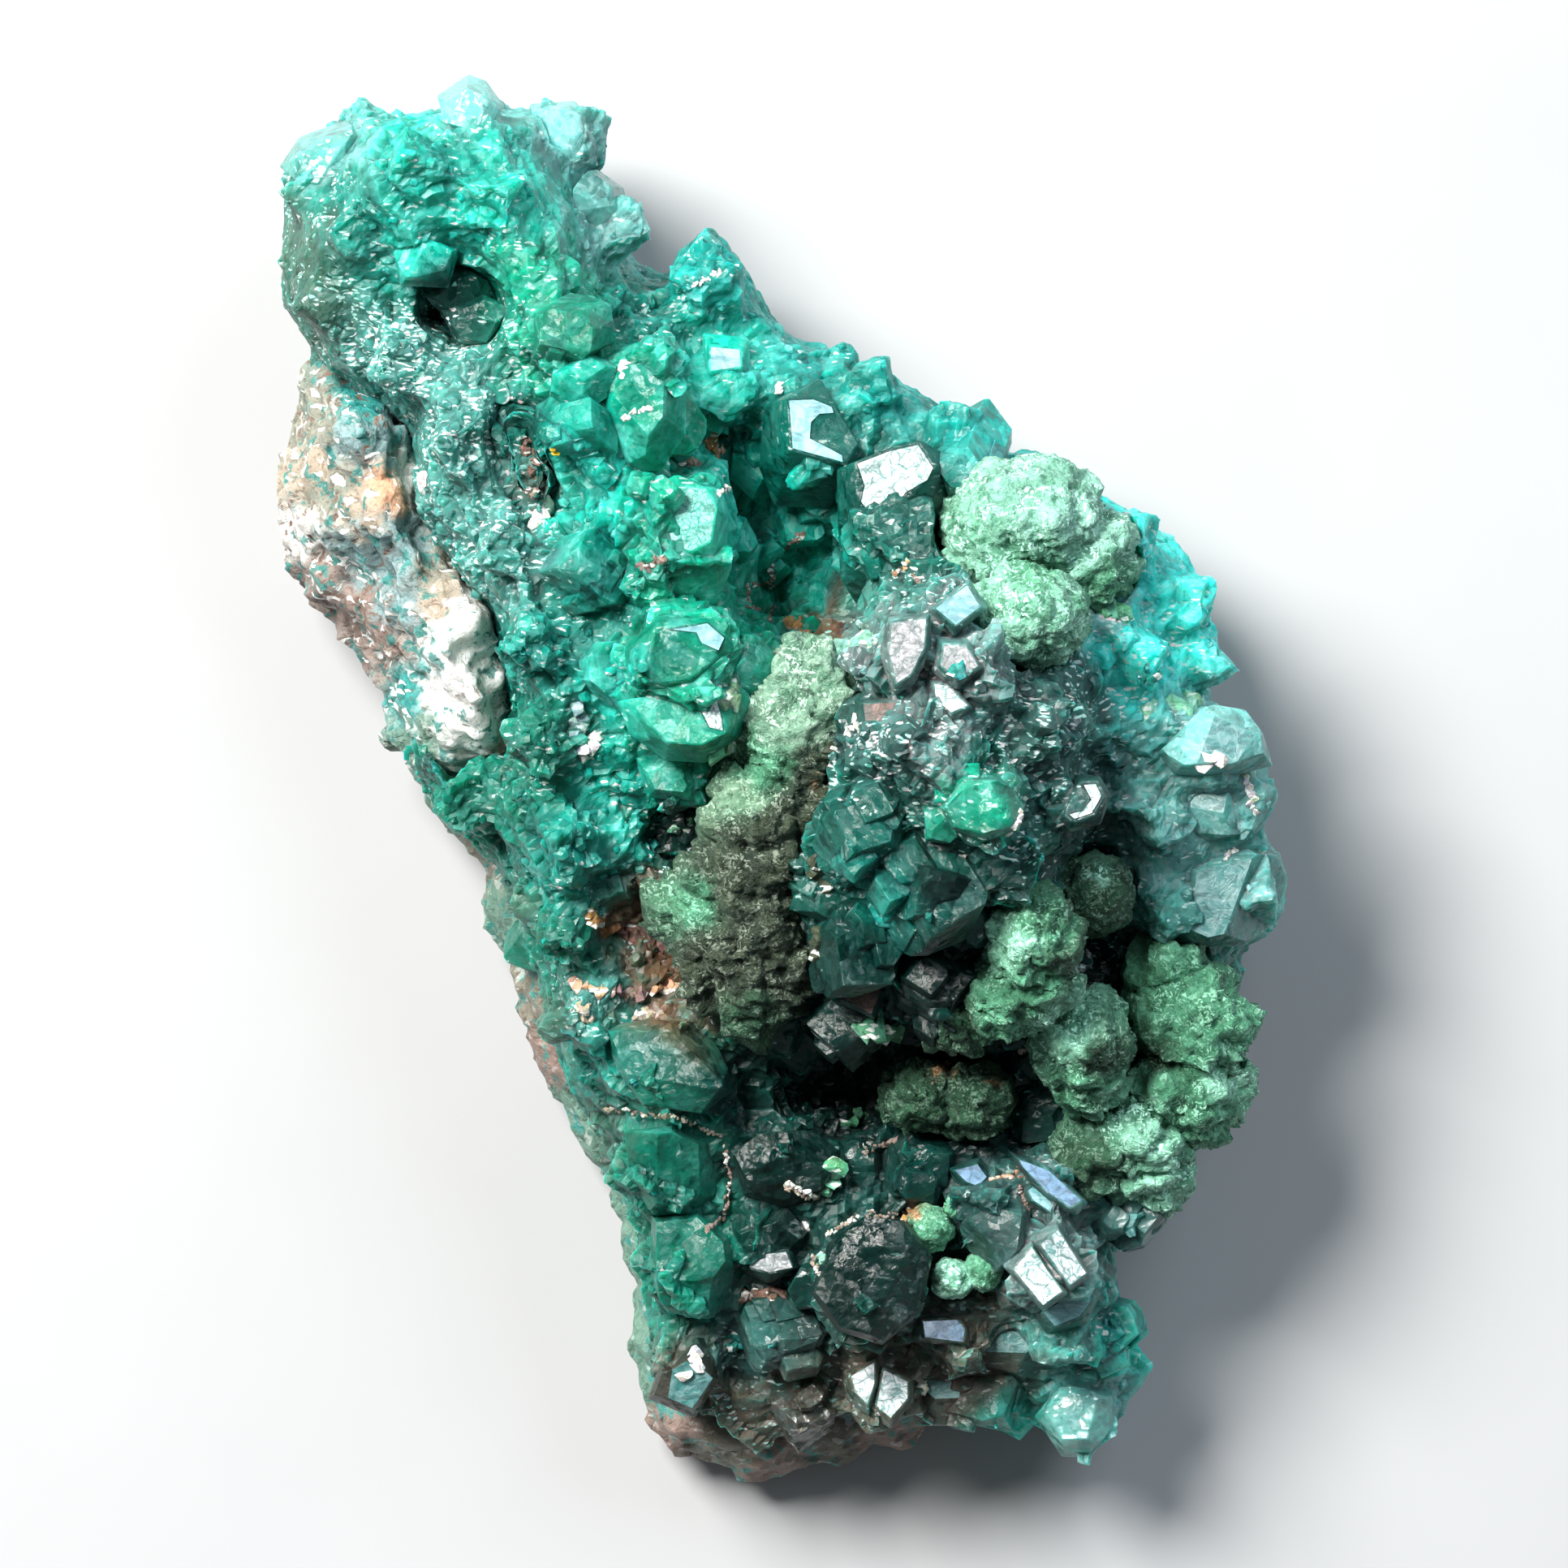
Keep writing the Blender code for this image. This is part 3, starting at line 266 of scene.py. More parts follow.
def toneAt(places, spots, sharpness=5.0):
    # places in mm, one row each; the nearest spots count most
    rows = [row for group in spots.values() for row in group]
    centres = np.array([row[:2] for row in rows])
    reach = np.array([row[2] for row in rows])
    colours = np.array([tones[row[3]] for row in rows])
    away = np.sqrt(((places[:, None, :2] - centres[None]) ** 2).sum(axis=2))
    weight = 1.0 / (0.02 + (away / reach) ** sharpness)
    return weight @ colours / weight.sum(axis=1)[:, None]


grainZones = {
    # x, y, reach, share of coarse, medium and fine grains, painted glint flecks, how broken the surface is
    "knob": [
        (-13.5, 23.0, 4.0, 0.0, 0.06, 0.16, 0.07, 0.6), (-8.0, 23.5, 2.5, 0.0, 0.0, 0.05, 0.05, 0.4),
        (-18.5, 21.0, 2.4, 0.0, 0.0, 0.03, 0.14, 0.25),
    ],
    "left wall": [
        (-14.0, 15.5, 3.0, 0.0, 0.1, 0.35, 0.26, 0.6), (-11.5, 9.5, 2.5, 0.0, 0.12, 0.35, 0.18, 0.7),
        (-10.0, 3.0, 3.0, 0.05, 0.15, 0.5, 0.08, 0.8), (-10.5, -3.0, 3.0, 0.1, 0.15, 0.3, 0.04, 0.7),
        (-8.5, -9.0, 2.5, 0.1, 0.15, 0.3, 0.06, 0.6),
    ],
    "inner column": [(-6.0, 12.0, 4.0, 0.1, 0.15, 0.25, 0.06, 0.9),
        (-5.5, 3.0, 3.5, 0.1, 0.15, 0.25, 0.07, 0.9)],
    "upper right wall": [(1.0, 16.0, 3.0, 0.03, 0.05, 0.06, 0.06, 0.5),
        (6.0, 13.0, 2.5, 0.03, 0.05, 0.06, 0.06, 0.5)],
    "vug": [(0.5, 9.0, 2.5, 0.1, 0.15, 0.1, 0.02, 0.9)],
    "shoulder": [(14.5, 7.0, 3.5, 0.05, 0.08, 0.15, 0.12, 0.5)],
    "middle lump": [(6.5, 2.0, 4.5, 0.4, 0.4, 0.2, 0.16, 1.0), (5.0, -5.0, 3.0, 0.4, 0.3, 0.1, 0.02, 1.0)],
    "right block": [(17.0, -2.0, 4.0, 0.0, 0.0, 0.05, 0.07, 0.35),
        (13.5, -1.5, 2.0, 0.0, 0.05, 0.1, 0.05, 0.6)],
    "lower right": [(15.0, -11.0, 4.0, 0.3, 0.4, 0.3, 0.06, 0.8)],
    "lower blocks": [
        (-4.0, -15.0, 4.5, 0.1, 0.12, 0.1, 0.02, 0.8), (4.0, -19.0, 5.0, 0.2, 0.15, 0.1, 0.02, 0.9),
        (8.0, -23.0, 4.0, 0.05, 0.08, 0.05, 0.06, 0.6), (2.0, -25.0, 3.0, 0.0, 0.06, 0.06, 0.12, 0.4),
    ],
}


def zoneShare(points, column):
    rows = np.array([row for rows in grainZones.values() for row in rows])
    away = np.sqrt(((points[:, None, :2] - rows[None, :, :2]) ** 2).sum(axis=2))
    weight = 1.0 / (0.02 + (away / rows[:, 2]) ** 4)
    return weight @ rows[:, column] / weight.sum(axis=1)


# mesh helpers

def linkMesh(name, mesh):
    made = bpy.data.objects.new(name, mesh)
    bpy.context.scene.collection.objects.link(made)
    return made


def nodeCopy(node, name):
    # a CAD node's mesh is loose triangles, so the copy is merged first
    mesh = frame["nodes"][node].data.copy()
    work = bmesh.new()
    work.from_mesh(mesh)
    bmesh.ops.remove_doubles(work, verts=work.verts, dist=1e-7)
    work.to_mesh(mesh)
    work.free()
    mesh.materials.clear()
    made = linkMesh(name, mesh)
    return made


def settle(item):
    # the evaluated mesh becomes the object's own
    graph = bpy.context.evaluated_depsgraph_get()
    mesh = bpy.data.meshes.new_from_object(item.evaluated_get(graph))
    item.modifiers.clear()
    item.data = mesh
    return item


def remeshed(item, voxel, smoothing=0):
    step = item.modifiers.new("even mesh", "REMESH")
    step.mode = "VOXEL"
    step.voxel_size = voxel * mm
    if smoothing:
        soft = item.modifiers.new("soften", "SMOOTH")
        soft.iterations = smoothing
    return settle(item)


def readPoints(mesh):
    points = np.empty(len(mesh.vertices) * 3)
    mesh.vertices.foreach_get("co", points)
    return points.reshape(-1, 3) / mm


def readNormals(mesh):
    normals = np.empty(len(mesh.vertices) * 3)
    mesh.vertices.foreach_get("normal", normals)
    return normals.reshape(-1, 3)


def writePoints(mesh, points):
    mesh.vertices.foreach_set("co", (points * mm).ravel())
    mesh.update()


def writeColour(mesh, name, colours):
    layer = mesh.attributes.new(name, "FLOAT_COLOR", "POINT")
    full = np.ones((len(colours), 4))
    full[:, :3] = colours
    layer.data.foreach_set("color", full.ravel())


def writeValue(mesh, name, values):
    layer = mesh.attributes.new(name, "FLOAT", "POINT")
    layer.data.foreach_set("value", np.asarray(values, dtype=float))


def fractalAt(points, size, octaves=3, seed=0.0):
    shift = Vector((seed, -seed, 0.5 * seed))
    return np.array([
        noise.fractal(Vector(point) / size + shift, 0.6, 2.1, octaves) for point in points
    ])


def cellsAt(points, size, seed=0.0):
    # distance to the nearest cell centre and to the next, for lumps and crevices
    shift = Vector((seed, seed, -seed))
    pairs = [noise.voronoi(Vector(point) / size + shift)[0][:2] for point in points]
    return np.array(pairs)


def planesAt(points, size):
    # a tilted plane in each cell, from -0.5 to 0.5, as broken crystal has
    heights = np.empty(len(points))
    for i, point in enumerate(points):
        spot = Vector(point) / size
        centre = noise.voronoi(spot)[1][0]
        tilt = noise.cell_vector(7.3 * centre)
        heights[i] = tilt.dot(spot - centre)
    return np.clip(heights, -0.5, 0.5)


# dioptase's form: six prism faces, three rhombohedron faces at each end

dioptaseForm = {
    "rhombTilt": math.radians(51),
    "tipReach": 0.95,  # middle to tip, as a share of the length
    "seat": 0.25,
    "bevel": 0.05,
    "swell": 1.04,  # hero crystals stand just proud of the mass
}


def cutAway(work, point, normal):
    every = work.verts[:] + work.edges[:] + work.faces[:]
    cut = bmesh.ops.bisect_plane(
        work, geom=every, dist=1e-7, plane_co=point, plane_no=normal, clear_outer=True
    )
    rim = [item for item in cut["geom_cut"] if isinstance(item, bmesh.types.BMEdge)]
    if len(rim) > 2:
        bmesh.ops.contextual_create(work, geom=rim)


def crystalWork(width, length, chance, uneven=0.0, chips=0):
    # a crystal about the origin with its axis along Z, in metres; chips trim its corners
    work = bmesh.new()
    bmesh.ops.create_cube(work, size=2.5 * (width + length) * mm)
    for i in range(6):
        angle = math.pi * i / 3
        normal = Vector((math.cos(angle), math.sin(angle), 0.0))
        off = 0.5 * width * mm * (1.0 + chance.uniform(-uneven, uneven))
        cutAway(work, off * normal, normal)
    tilt = dioptaseForm["rhombTilt"]
    for end in (1, -1):
        for i in range(3):
            angle = math.pi / 6 + 2.0 * math.pi * i / 3 + (math.pi if end < 0 else 0.0)
            side = math.sin(tilt)
            normal = Vector((side * math.cos(angle), side * math.sin(angle), end * math.cos(tilt)))
            reach = dioptaseForm["tipReach"] * length * math.cos(tilt) * mm
            cutAway(work, reach * (1.0 + chance.uniform(-uneven, uneven)) * normal, normal)
    for _ in range(chips):
        normal = Vector((chance.gauss(0, 1), chance.gauss(0, 1), chance.gauss(0.5, 1))).normalized()
        reach = max(vert.co.dot(normal) for vert in work.verts)
        cutAway(work, reach * chance.uniform(0.84, 0.95) * normal, normal)
    return work


def grainWork(chance, corners=9):
    # an irregular grain of unit size: the hull of a few points on a ball
    work = bmesh.new()
    for _ in range(corners):
        spot = Vector((chance.gauss(0, 1), chance.gauss(0, 1), chance.gauss(0, 1))).normalized()
        work.verts.new(0.5 * chance.uniform(0.8, 1.0) * spot)
    hull = bmesh.ops.convex_hull(work, input=work.verts[:])
    spare = [item for item in hull["geom_interior"] if isinstance(item, bmesh.types.BMVert)]
    bmesh.ops.delete(work, geom=spare, context="VERTS")
    bmesh.ops.recalc_face_normals(work, faces=work.faces)
    return work


# node helpers, for shaders and for geometry nodes

def addNode(tree, kind, values=None, **settings):
    made = tree.nodes.new(kind)
    for name, setting in settings.items():
        setattr(made, name, setting)
    for key, value in (values or {}).items():
        socket = made.inputs[key]
        if isinstance(value, bpy.types.NodeSocket):
            tree.links.new(value, socket)
        elif isinstance(value, tuple) and socket.type == "RGBA":
            socket.default_value = (*value, 1.0)
        else:
            socket.default_value = value
    return made


def newMaterial(name):
    made = bpy.data.materials.new(name)
    made.use_nodes = True
    tree = made.node_tree
    tree.nodes.clear()
    shader = addNode(tree, "ShaderNodeBsdfPrincipled")
    addNode(tree, "ShaderNodeOutputMaterial", {"Surface": shader.outputs[0]})
    return made, tree, shader


def millimetres(tree):
    where = addNode(tree, "ShaderNodeTexCoord").outputs["Object"]
    return addNode(tree, "ShaderNodeMapping",
        {"Vector": where, "Scale": (1 / mm, 1 / mm, 1 / mm)}).outputs[0]


def noiseOf(tree, where, scale, detail=3.0, roughness=0.55, distortion=0.0):
    return addNode(tree, "ShaderNodeTexNoise", {
        "Vector": where, "Scale": scale, "Detail": detail, "Roughness": roughness,
        "Distortion": distortion,
    }).outputs["Fac"]


def cellsOf(tree, where, scale, feature="F1", output="Distance"):
    cells = addNode(tree, "ShaderNodeTexVoronoi", {"Vector": where, "Scale": scale}, feature=feature)
    return cells.outputs[output]


def spread(tree, value, low, high, toLow=0.0, toHigh=1.0):
    return addNode(tree, "ShaderNodeMapRange", {
        "Value": value, "From Min": low, "From Max": high, "To Min": toLow, "To Max": toHigh,
    }).outputs["Result"]


def blend(tree, kind, share, first, second):
    return addNode(tree, "ShaderNodeMix", {0: share, 6: first, 7: second}, data_type="RGBA",
        blend_type=kind).outputs[2]


def facetsOf(tree, where, scale):
    # a height that is a tilted plane in each cell, for crystal faces; also the cell's random colour
    cells = addNode(tree, "ShaderNodeTexVoronoi", {"Vector": where, "Scale": scale})
    tilt = addNode(tree, "ShaderNodeVectorMath", {0: cells.outputs["Color"], 1: (0.5, 0.5, 0.5)},
        operation="SUBTRACT")
    local = addNode(tree, "ShaderNodeVectorMath", {0: where, 1: cells.outputs["Position"]},
        operation="SUBTRACT")
    height = addNode(tree, "ShaderNodeVectorMath", {0: tilt.outputs[0], 1: local.outputs[0]},
        operation="DOT_PRODUCT")
    return height.outputs["Value"], cells.outputs["Color"]


def attributeOf(tree, name, output="Fac"):
    return addNode(tree, "ShaderNodeAttribute", attribute_name=name).outputs[output]


def bumpOf(tree, height, distance, below=None):
    values = {"Height": height, "Distance": distance * mm}
    if below:
        values["Normal"] = below
    return addNode(tree, "ShaderNodeBump", values).outputs["Normal"]


# dioptase: the tint comes from the place, the shade from the grain or crystal; on the mass the shade is
# painted shade from its relief

finishes = {
    # facets: cells per mm and how steeply they tilt, large ones first
    "mass": {
        "facets": ((0.6, 0.5), (2.2, 0.45)), "veil": (0.9, 0.55), "depth": (0.35, 0.45),
        "rough": (0.32, 0.6),
        "bump": (5.0, 0.03), "transmission": 0.0, "subsurface": 0.8, "subsurfaceDepth": 1.4,
        "specular": 0.28,
    },
    "grain": {
        "facets": ((1.2, 0.5), (3.0, 0.5)), "veil": (1.1, 0.45), "depth": (0.4, 0.4), "rough": (0.25, 0.5),
        "bump": (6.0, 0.02), "transmission": 0.0, "subsurface": 0.75, "subsurfaceDepth": 1.2,
        "specular": 0.3,
    },
    "crystal": {
        "facets": ((0.5, 0.5), (1.9, 0.6)), "veil": (0.6, 0.5), "depth": (0.35, 0.6), "rough": (0.26, 0.5),
        "bump": (3.5, 0.07), "transmission": 0.0, "subsurface": 0.7, "subsurfaceDepth": 1.2,
        "specular": 0.28,
    },
    "clear": {
        "facets": ((0.6, 0.4), (2.2, 0.5)), "veil": (0.9, 0.6), "depth": (0.5, 0.3), "rough": (0.10, 0.4),
        "bump": (4.0, 0.03), "transmission": 0.45, "subsurface": 0.5, "subsurfaceDepth": 0.8,
        "specular": 0.6,
    },
}


def sliverCells(tree, where, along, across, angle):
    # long thin cells that lie one way, for glints along the grain
    turned = addNode(tree, "ShaderNodeMapping", {
        "Vector": where, "Rotation": (0.0, 0.0, math.radians(angle)),
        "Scale": (along, across, 0.5 * (along + across)),
    }).outputs[0]
    cells = addNode(tree, "ShaderNodeTexVoronoi", {"Vector": turned, "Scale": 1.0})
    return addNode(tree, "ShaderNodeSeparateColor", {0: cells.outputs["Color"]})


def added(tree, first, second, kind="ADD"):
    return addNode(tree, "ShaderNodeMath", {0: first, 1: second}, operation=kind).outputs[0]


def bentPlaces(tree, where, scale, amount):
    warp = addNode(tree, "ShaderNodeTexNoise",
        {"Vector": where, "Scale": scale, "Detail": 2.0}).outputs["Color"]
    middle = addNode(tree, "ShaderNodeVectorMath", {0: warp, 1: (0.5, 0.5, 0.5)},
        operation="SUBTRACT").outputs[0]
    push = addNode(tree, "ShaderNodeVectorMath", {0: middle, "Scale": amount}, operation="SCALE").outputs[0]
    return addNode(tree, "ShaderNodeVectorMath", {0: where, 1: push}, operation="ADD").outputs[0]


def dioptaseMaterial(name, finish):
    made, tree, shader = newMaterial(name)
    where = millimetres(tree)
    tint = blend(tree, "MULTIPLY", 1.0, attributeOf(tree, "tint", "Color"), attributeOf(tree, "shade"))
    (largeScale, largeTilt), (smallScale, smallTilt) = finish["facets"]
    bent = bentPlaces(tree, where, 0.9, 1.2)
    large, largeColour = facetsOf(tree, bent, largeScale)
    small, smallColour = facetsOf(tree, bent, smallScale)
    scale, share = finish["veil"]
    veil = spread(tree, noiseOf(tree, where, scale, 5.0, 0.65, 0.8), 0.46, 0.72, 0.0, share)
    green = addNode(tree, "ShaderNodeSeparateColor", {0: tint}).outputs[1]
    pale = blend(tree, "MULTIPLY", 1.0, (0.24, 1.0, 0.9), added(tree, green, 2.0, "MULTIPLY"))
    base = blend(tree, "MIX", veil, tint, pale)
    scale, share = finish["depth"]
    depth = spread(tree, noiseOf(tree, where, scale, 4.0, 0.6), 0.5, 0.32, 0.0, share)
    base = blend(tree, "MULTIPLY", depth, base, (0.2, 0.4, 0.42))
    pits = spread(tree, noiseOf(tree, where, 2.6, 4.0, 0.7, 0.6), 0.42, 0.34, 0.0, 0.6)
    base = blend(tree, "MULTIPLY", pits, base, (0.15, 0.32, 0.32))
    largePick = addNode(tree, "ShaderNodeSeparateColor", {0: largeColour})
    smallPick = addNode(tree, "ShaderNodeSeparateColor", {0: smallColour})
    lighter = spread(tree, smallPick.outputs[1], 0.0, 1.0, 0.82, 1.2)
    base = blend(tree, "MULTIPLY", 1.0, base, lighter)
    # painted glints: thin pale slivers, clustered in patches, are mixed into the colour by the painted
    # glint share
    crowd = spread(tree, noiseOf(tree, where, 0.7, 4.0, 0.6), 0.38, 0.62, 0.1, 1.7)
    amount = added(tree, attributeOf(tree, "painted_glint_share"), crowd, "MULTIPLY")
    slivers = sliverCells(tree, bentPlaces(tree, where, 0.5, 1.0), 3.6, 10.5, 40)
    painted_glint_share = spread(tree, added(tree, slivers.outputs[0], amount), 1.0, 1.06)
    painted_highlight = blend(tree, "MIX", slivers.outputs[1], (0.24, 0.56, 0.50), (0.66, 0.72, 0.70))
    base = blend(tree, "MIX", painted_glint_share, base, painted_highlight)
    tree.links.new(base, shader.inputs["Base Color"])
    low, high = finish["rough"]
    rough = spread(tree, largePick.outputs[2], 0.0, 1.0, low, high)
    tree.links.new(rough, shader.inputs["Roughness"])
    scale, height = finish["bump"]
    normal = bumpOf(tree, noiseOf(tree, where, scale, 4.0, 0.6, 0.3), height)
    normal = bumpOf(tree, large, largeTilt, normal)
    normal = bumpOf(tree, small, smallTilt, normal)
    tree.links.new(normal, shader.inputs["Normal"])
    shader.inputs["IOR"].default_value = 1.65
    shader.inputs["Transmission Weight"].default_value = finish["transmission"]
    shader.inputs["Subsurface Weight"].default_value = finish["subsurface"]
    shader.inputs["Subsurface Radius"].default_value = (0.1, 1.0, 0.8)
    shader.inputs["Subsurface Scale"].default_value = finish["subsurfaceDepth"] * mm
    shader.inputs["Specular IOR Level"].default_value = finish["specular"]
    return made


dioptaseFinishes = {name: dioptaseMaterial("dioptase " + name, finish) for name, finish in finishes.items()}


# pieces end inside the box of the frame

def finishPiece(item, node):
    # a piece without a node of its own only lies on the others
    low, high = np.array(cadBox) / mm
    mesh = item.data
    writePoints(mesh, np.clip(readPoints(mesh), low + 0.02, high - 0.02))
    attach(item, "root")
    if node:
        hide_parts(node)
    return item


# crystals in the round, by region: x, y, z, width, length, direction, lean, turn

wholeCrystals = {
    "inner column": [
        (-8.2, 17.4, 16.6, 2.6, 3.4, 60, 20, 5), (-7.9, 13.8, 16.6, 2.4, 3.0, 320, 20, 33),
        (-7.4, 8.4, 15.8, 2.8, 3.2, 180, 20, 40), (-6.6, 4.4, 15.4, 2.6, 3.0, 190, 30, 22),
    ],
    "upper right wall": [
        (-1.2, 13.0, 8.6, 2.0, 3.6, 285, 30, 10), (7.2, 12.4, 13.0, 2.2, 3.2, 250, 35, 40),
    ],
    "vug": [
        (0.6, 10.6, 7.4, 2.2, 3.0, 240, 30, 20), (-1.4, 8.8, 7.4, 1.8, 2.8, 20, 35, 0),
        (3.0, 6.8, 8.6, 2.4, 3.4, 270, 40, 35),
    ],
    "middle lump": [
        (3.0, -1.8, 19.4, 3.2, 3.4, 240, 25, 40), (5.6, -4.2, 18.8, 3.8, 3.8, 265, 25, 15),
        (2.8, -6.4, 16.6, 3.2, 3.6, 250, 30, 5), (5.8, -7.8, 15.6, 3.0, 3.4, 280, 35, 28),
        (2.6, -9.0, 13.4, 2.6, 3.2, 260, 40, 45),
    ],
    "lower blocks": [
        (0.0, -21.4, 8.0, 3.0, 3.4, 230, 25, 44), (5.4, -15.0, 9.6, 2.6, 3.2, 120, 25, 36),
        (12.7, -21.4, 7.4, 2.2, 3.0, 350, 45, 38), (7.8, -24.0, 6.2, 2.8, 3.4, 290, 40, 46),
    ],
}
clearCrystals = {
    "bottom rim": [(13.2, -16.6, 8.4, 2.4, 3.0, 20, 40, 14), (0.8, -24.4, 6.0, 2.6, 3.0, 260, 40, 33)],
}

# crystals with one large face up: its outline, how it rises along X and Y, and its finish.
# A skirt gives the lower corners as x, y and drop; the others flare evenly.

faceSlopes = {
    "toLight": (0.25, -0.25), "toSky": (-0.26, -0.28), "level": (0.05, -0.05),
    "away": (-0.45, 0.35), "toRight": (-0.35, -0.1), "toFront": (0.05, 0.45),
}
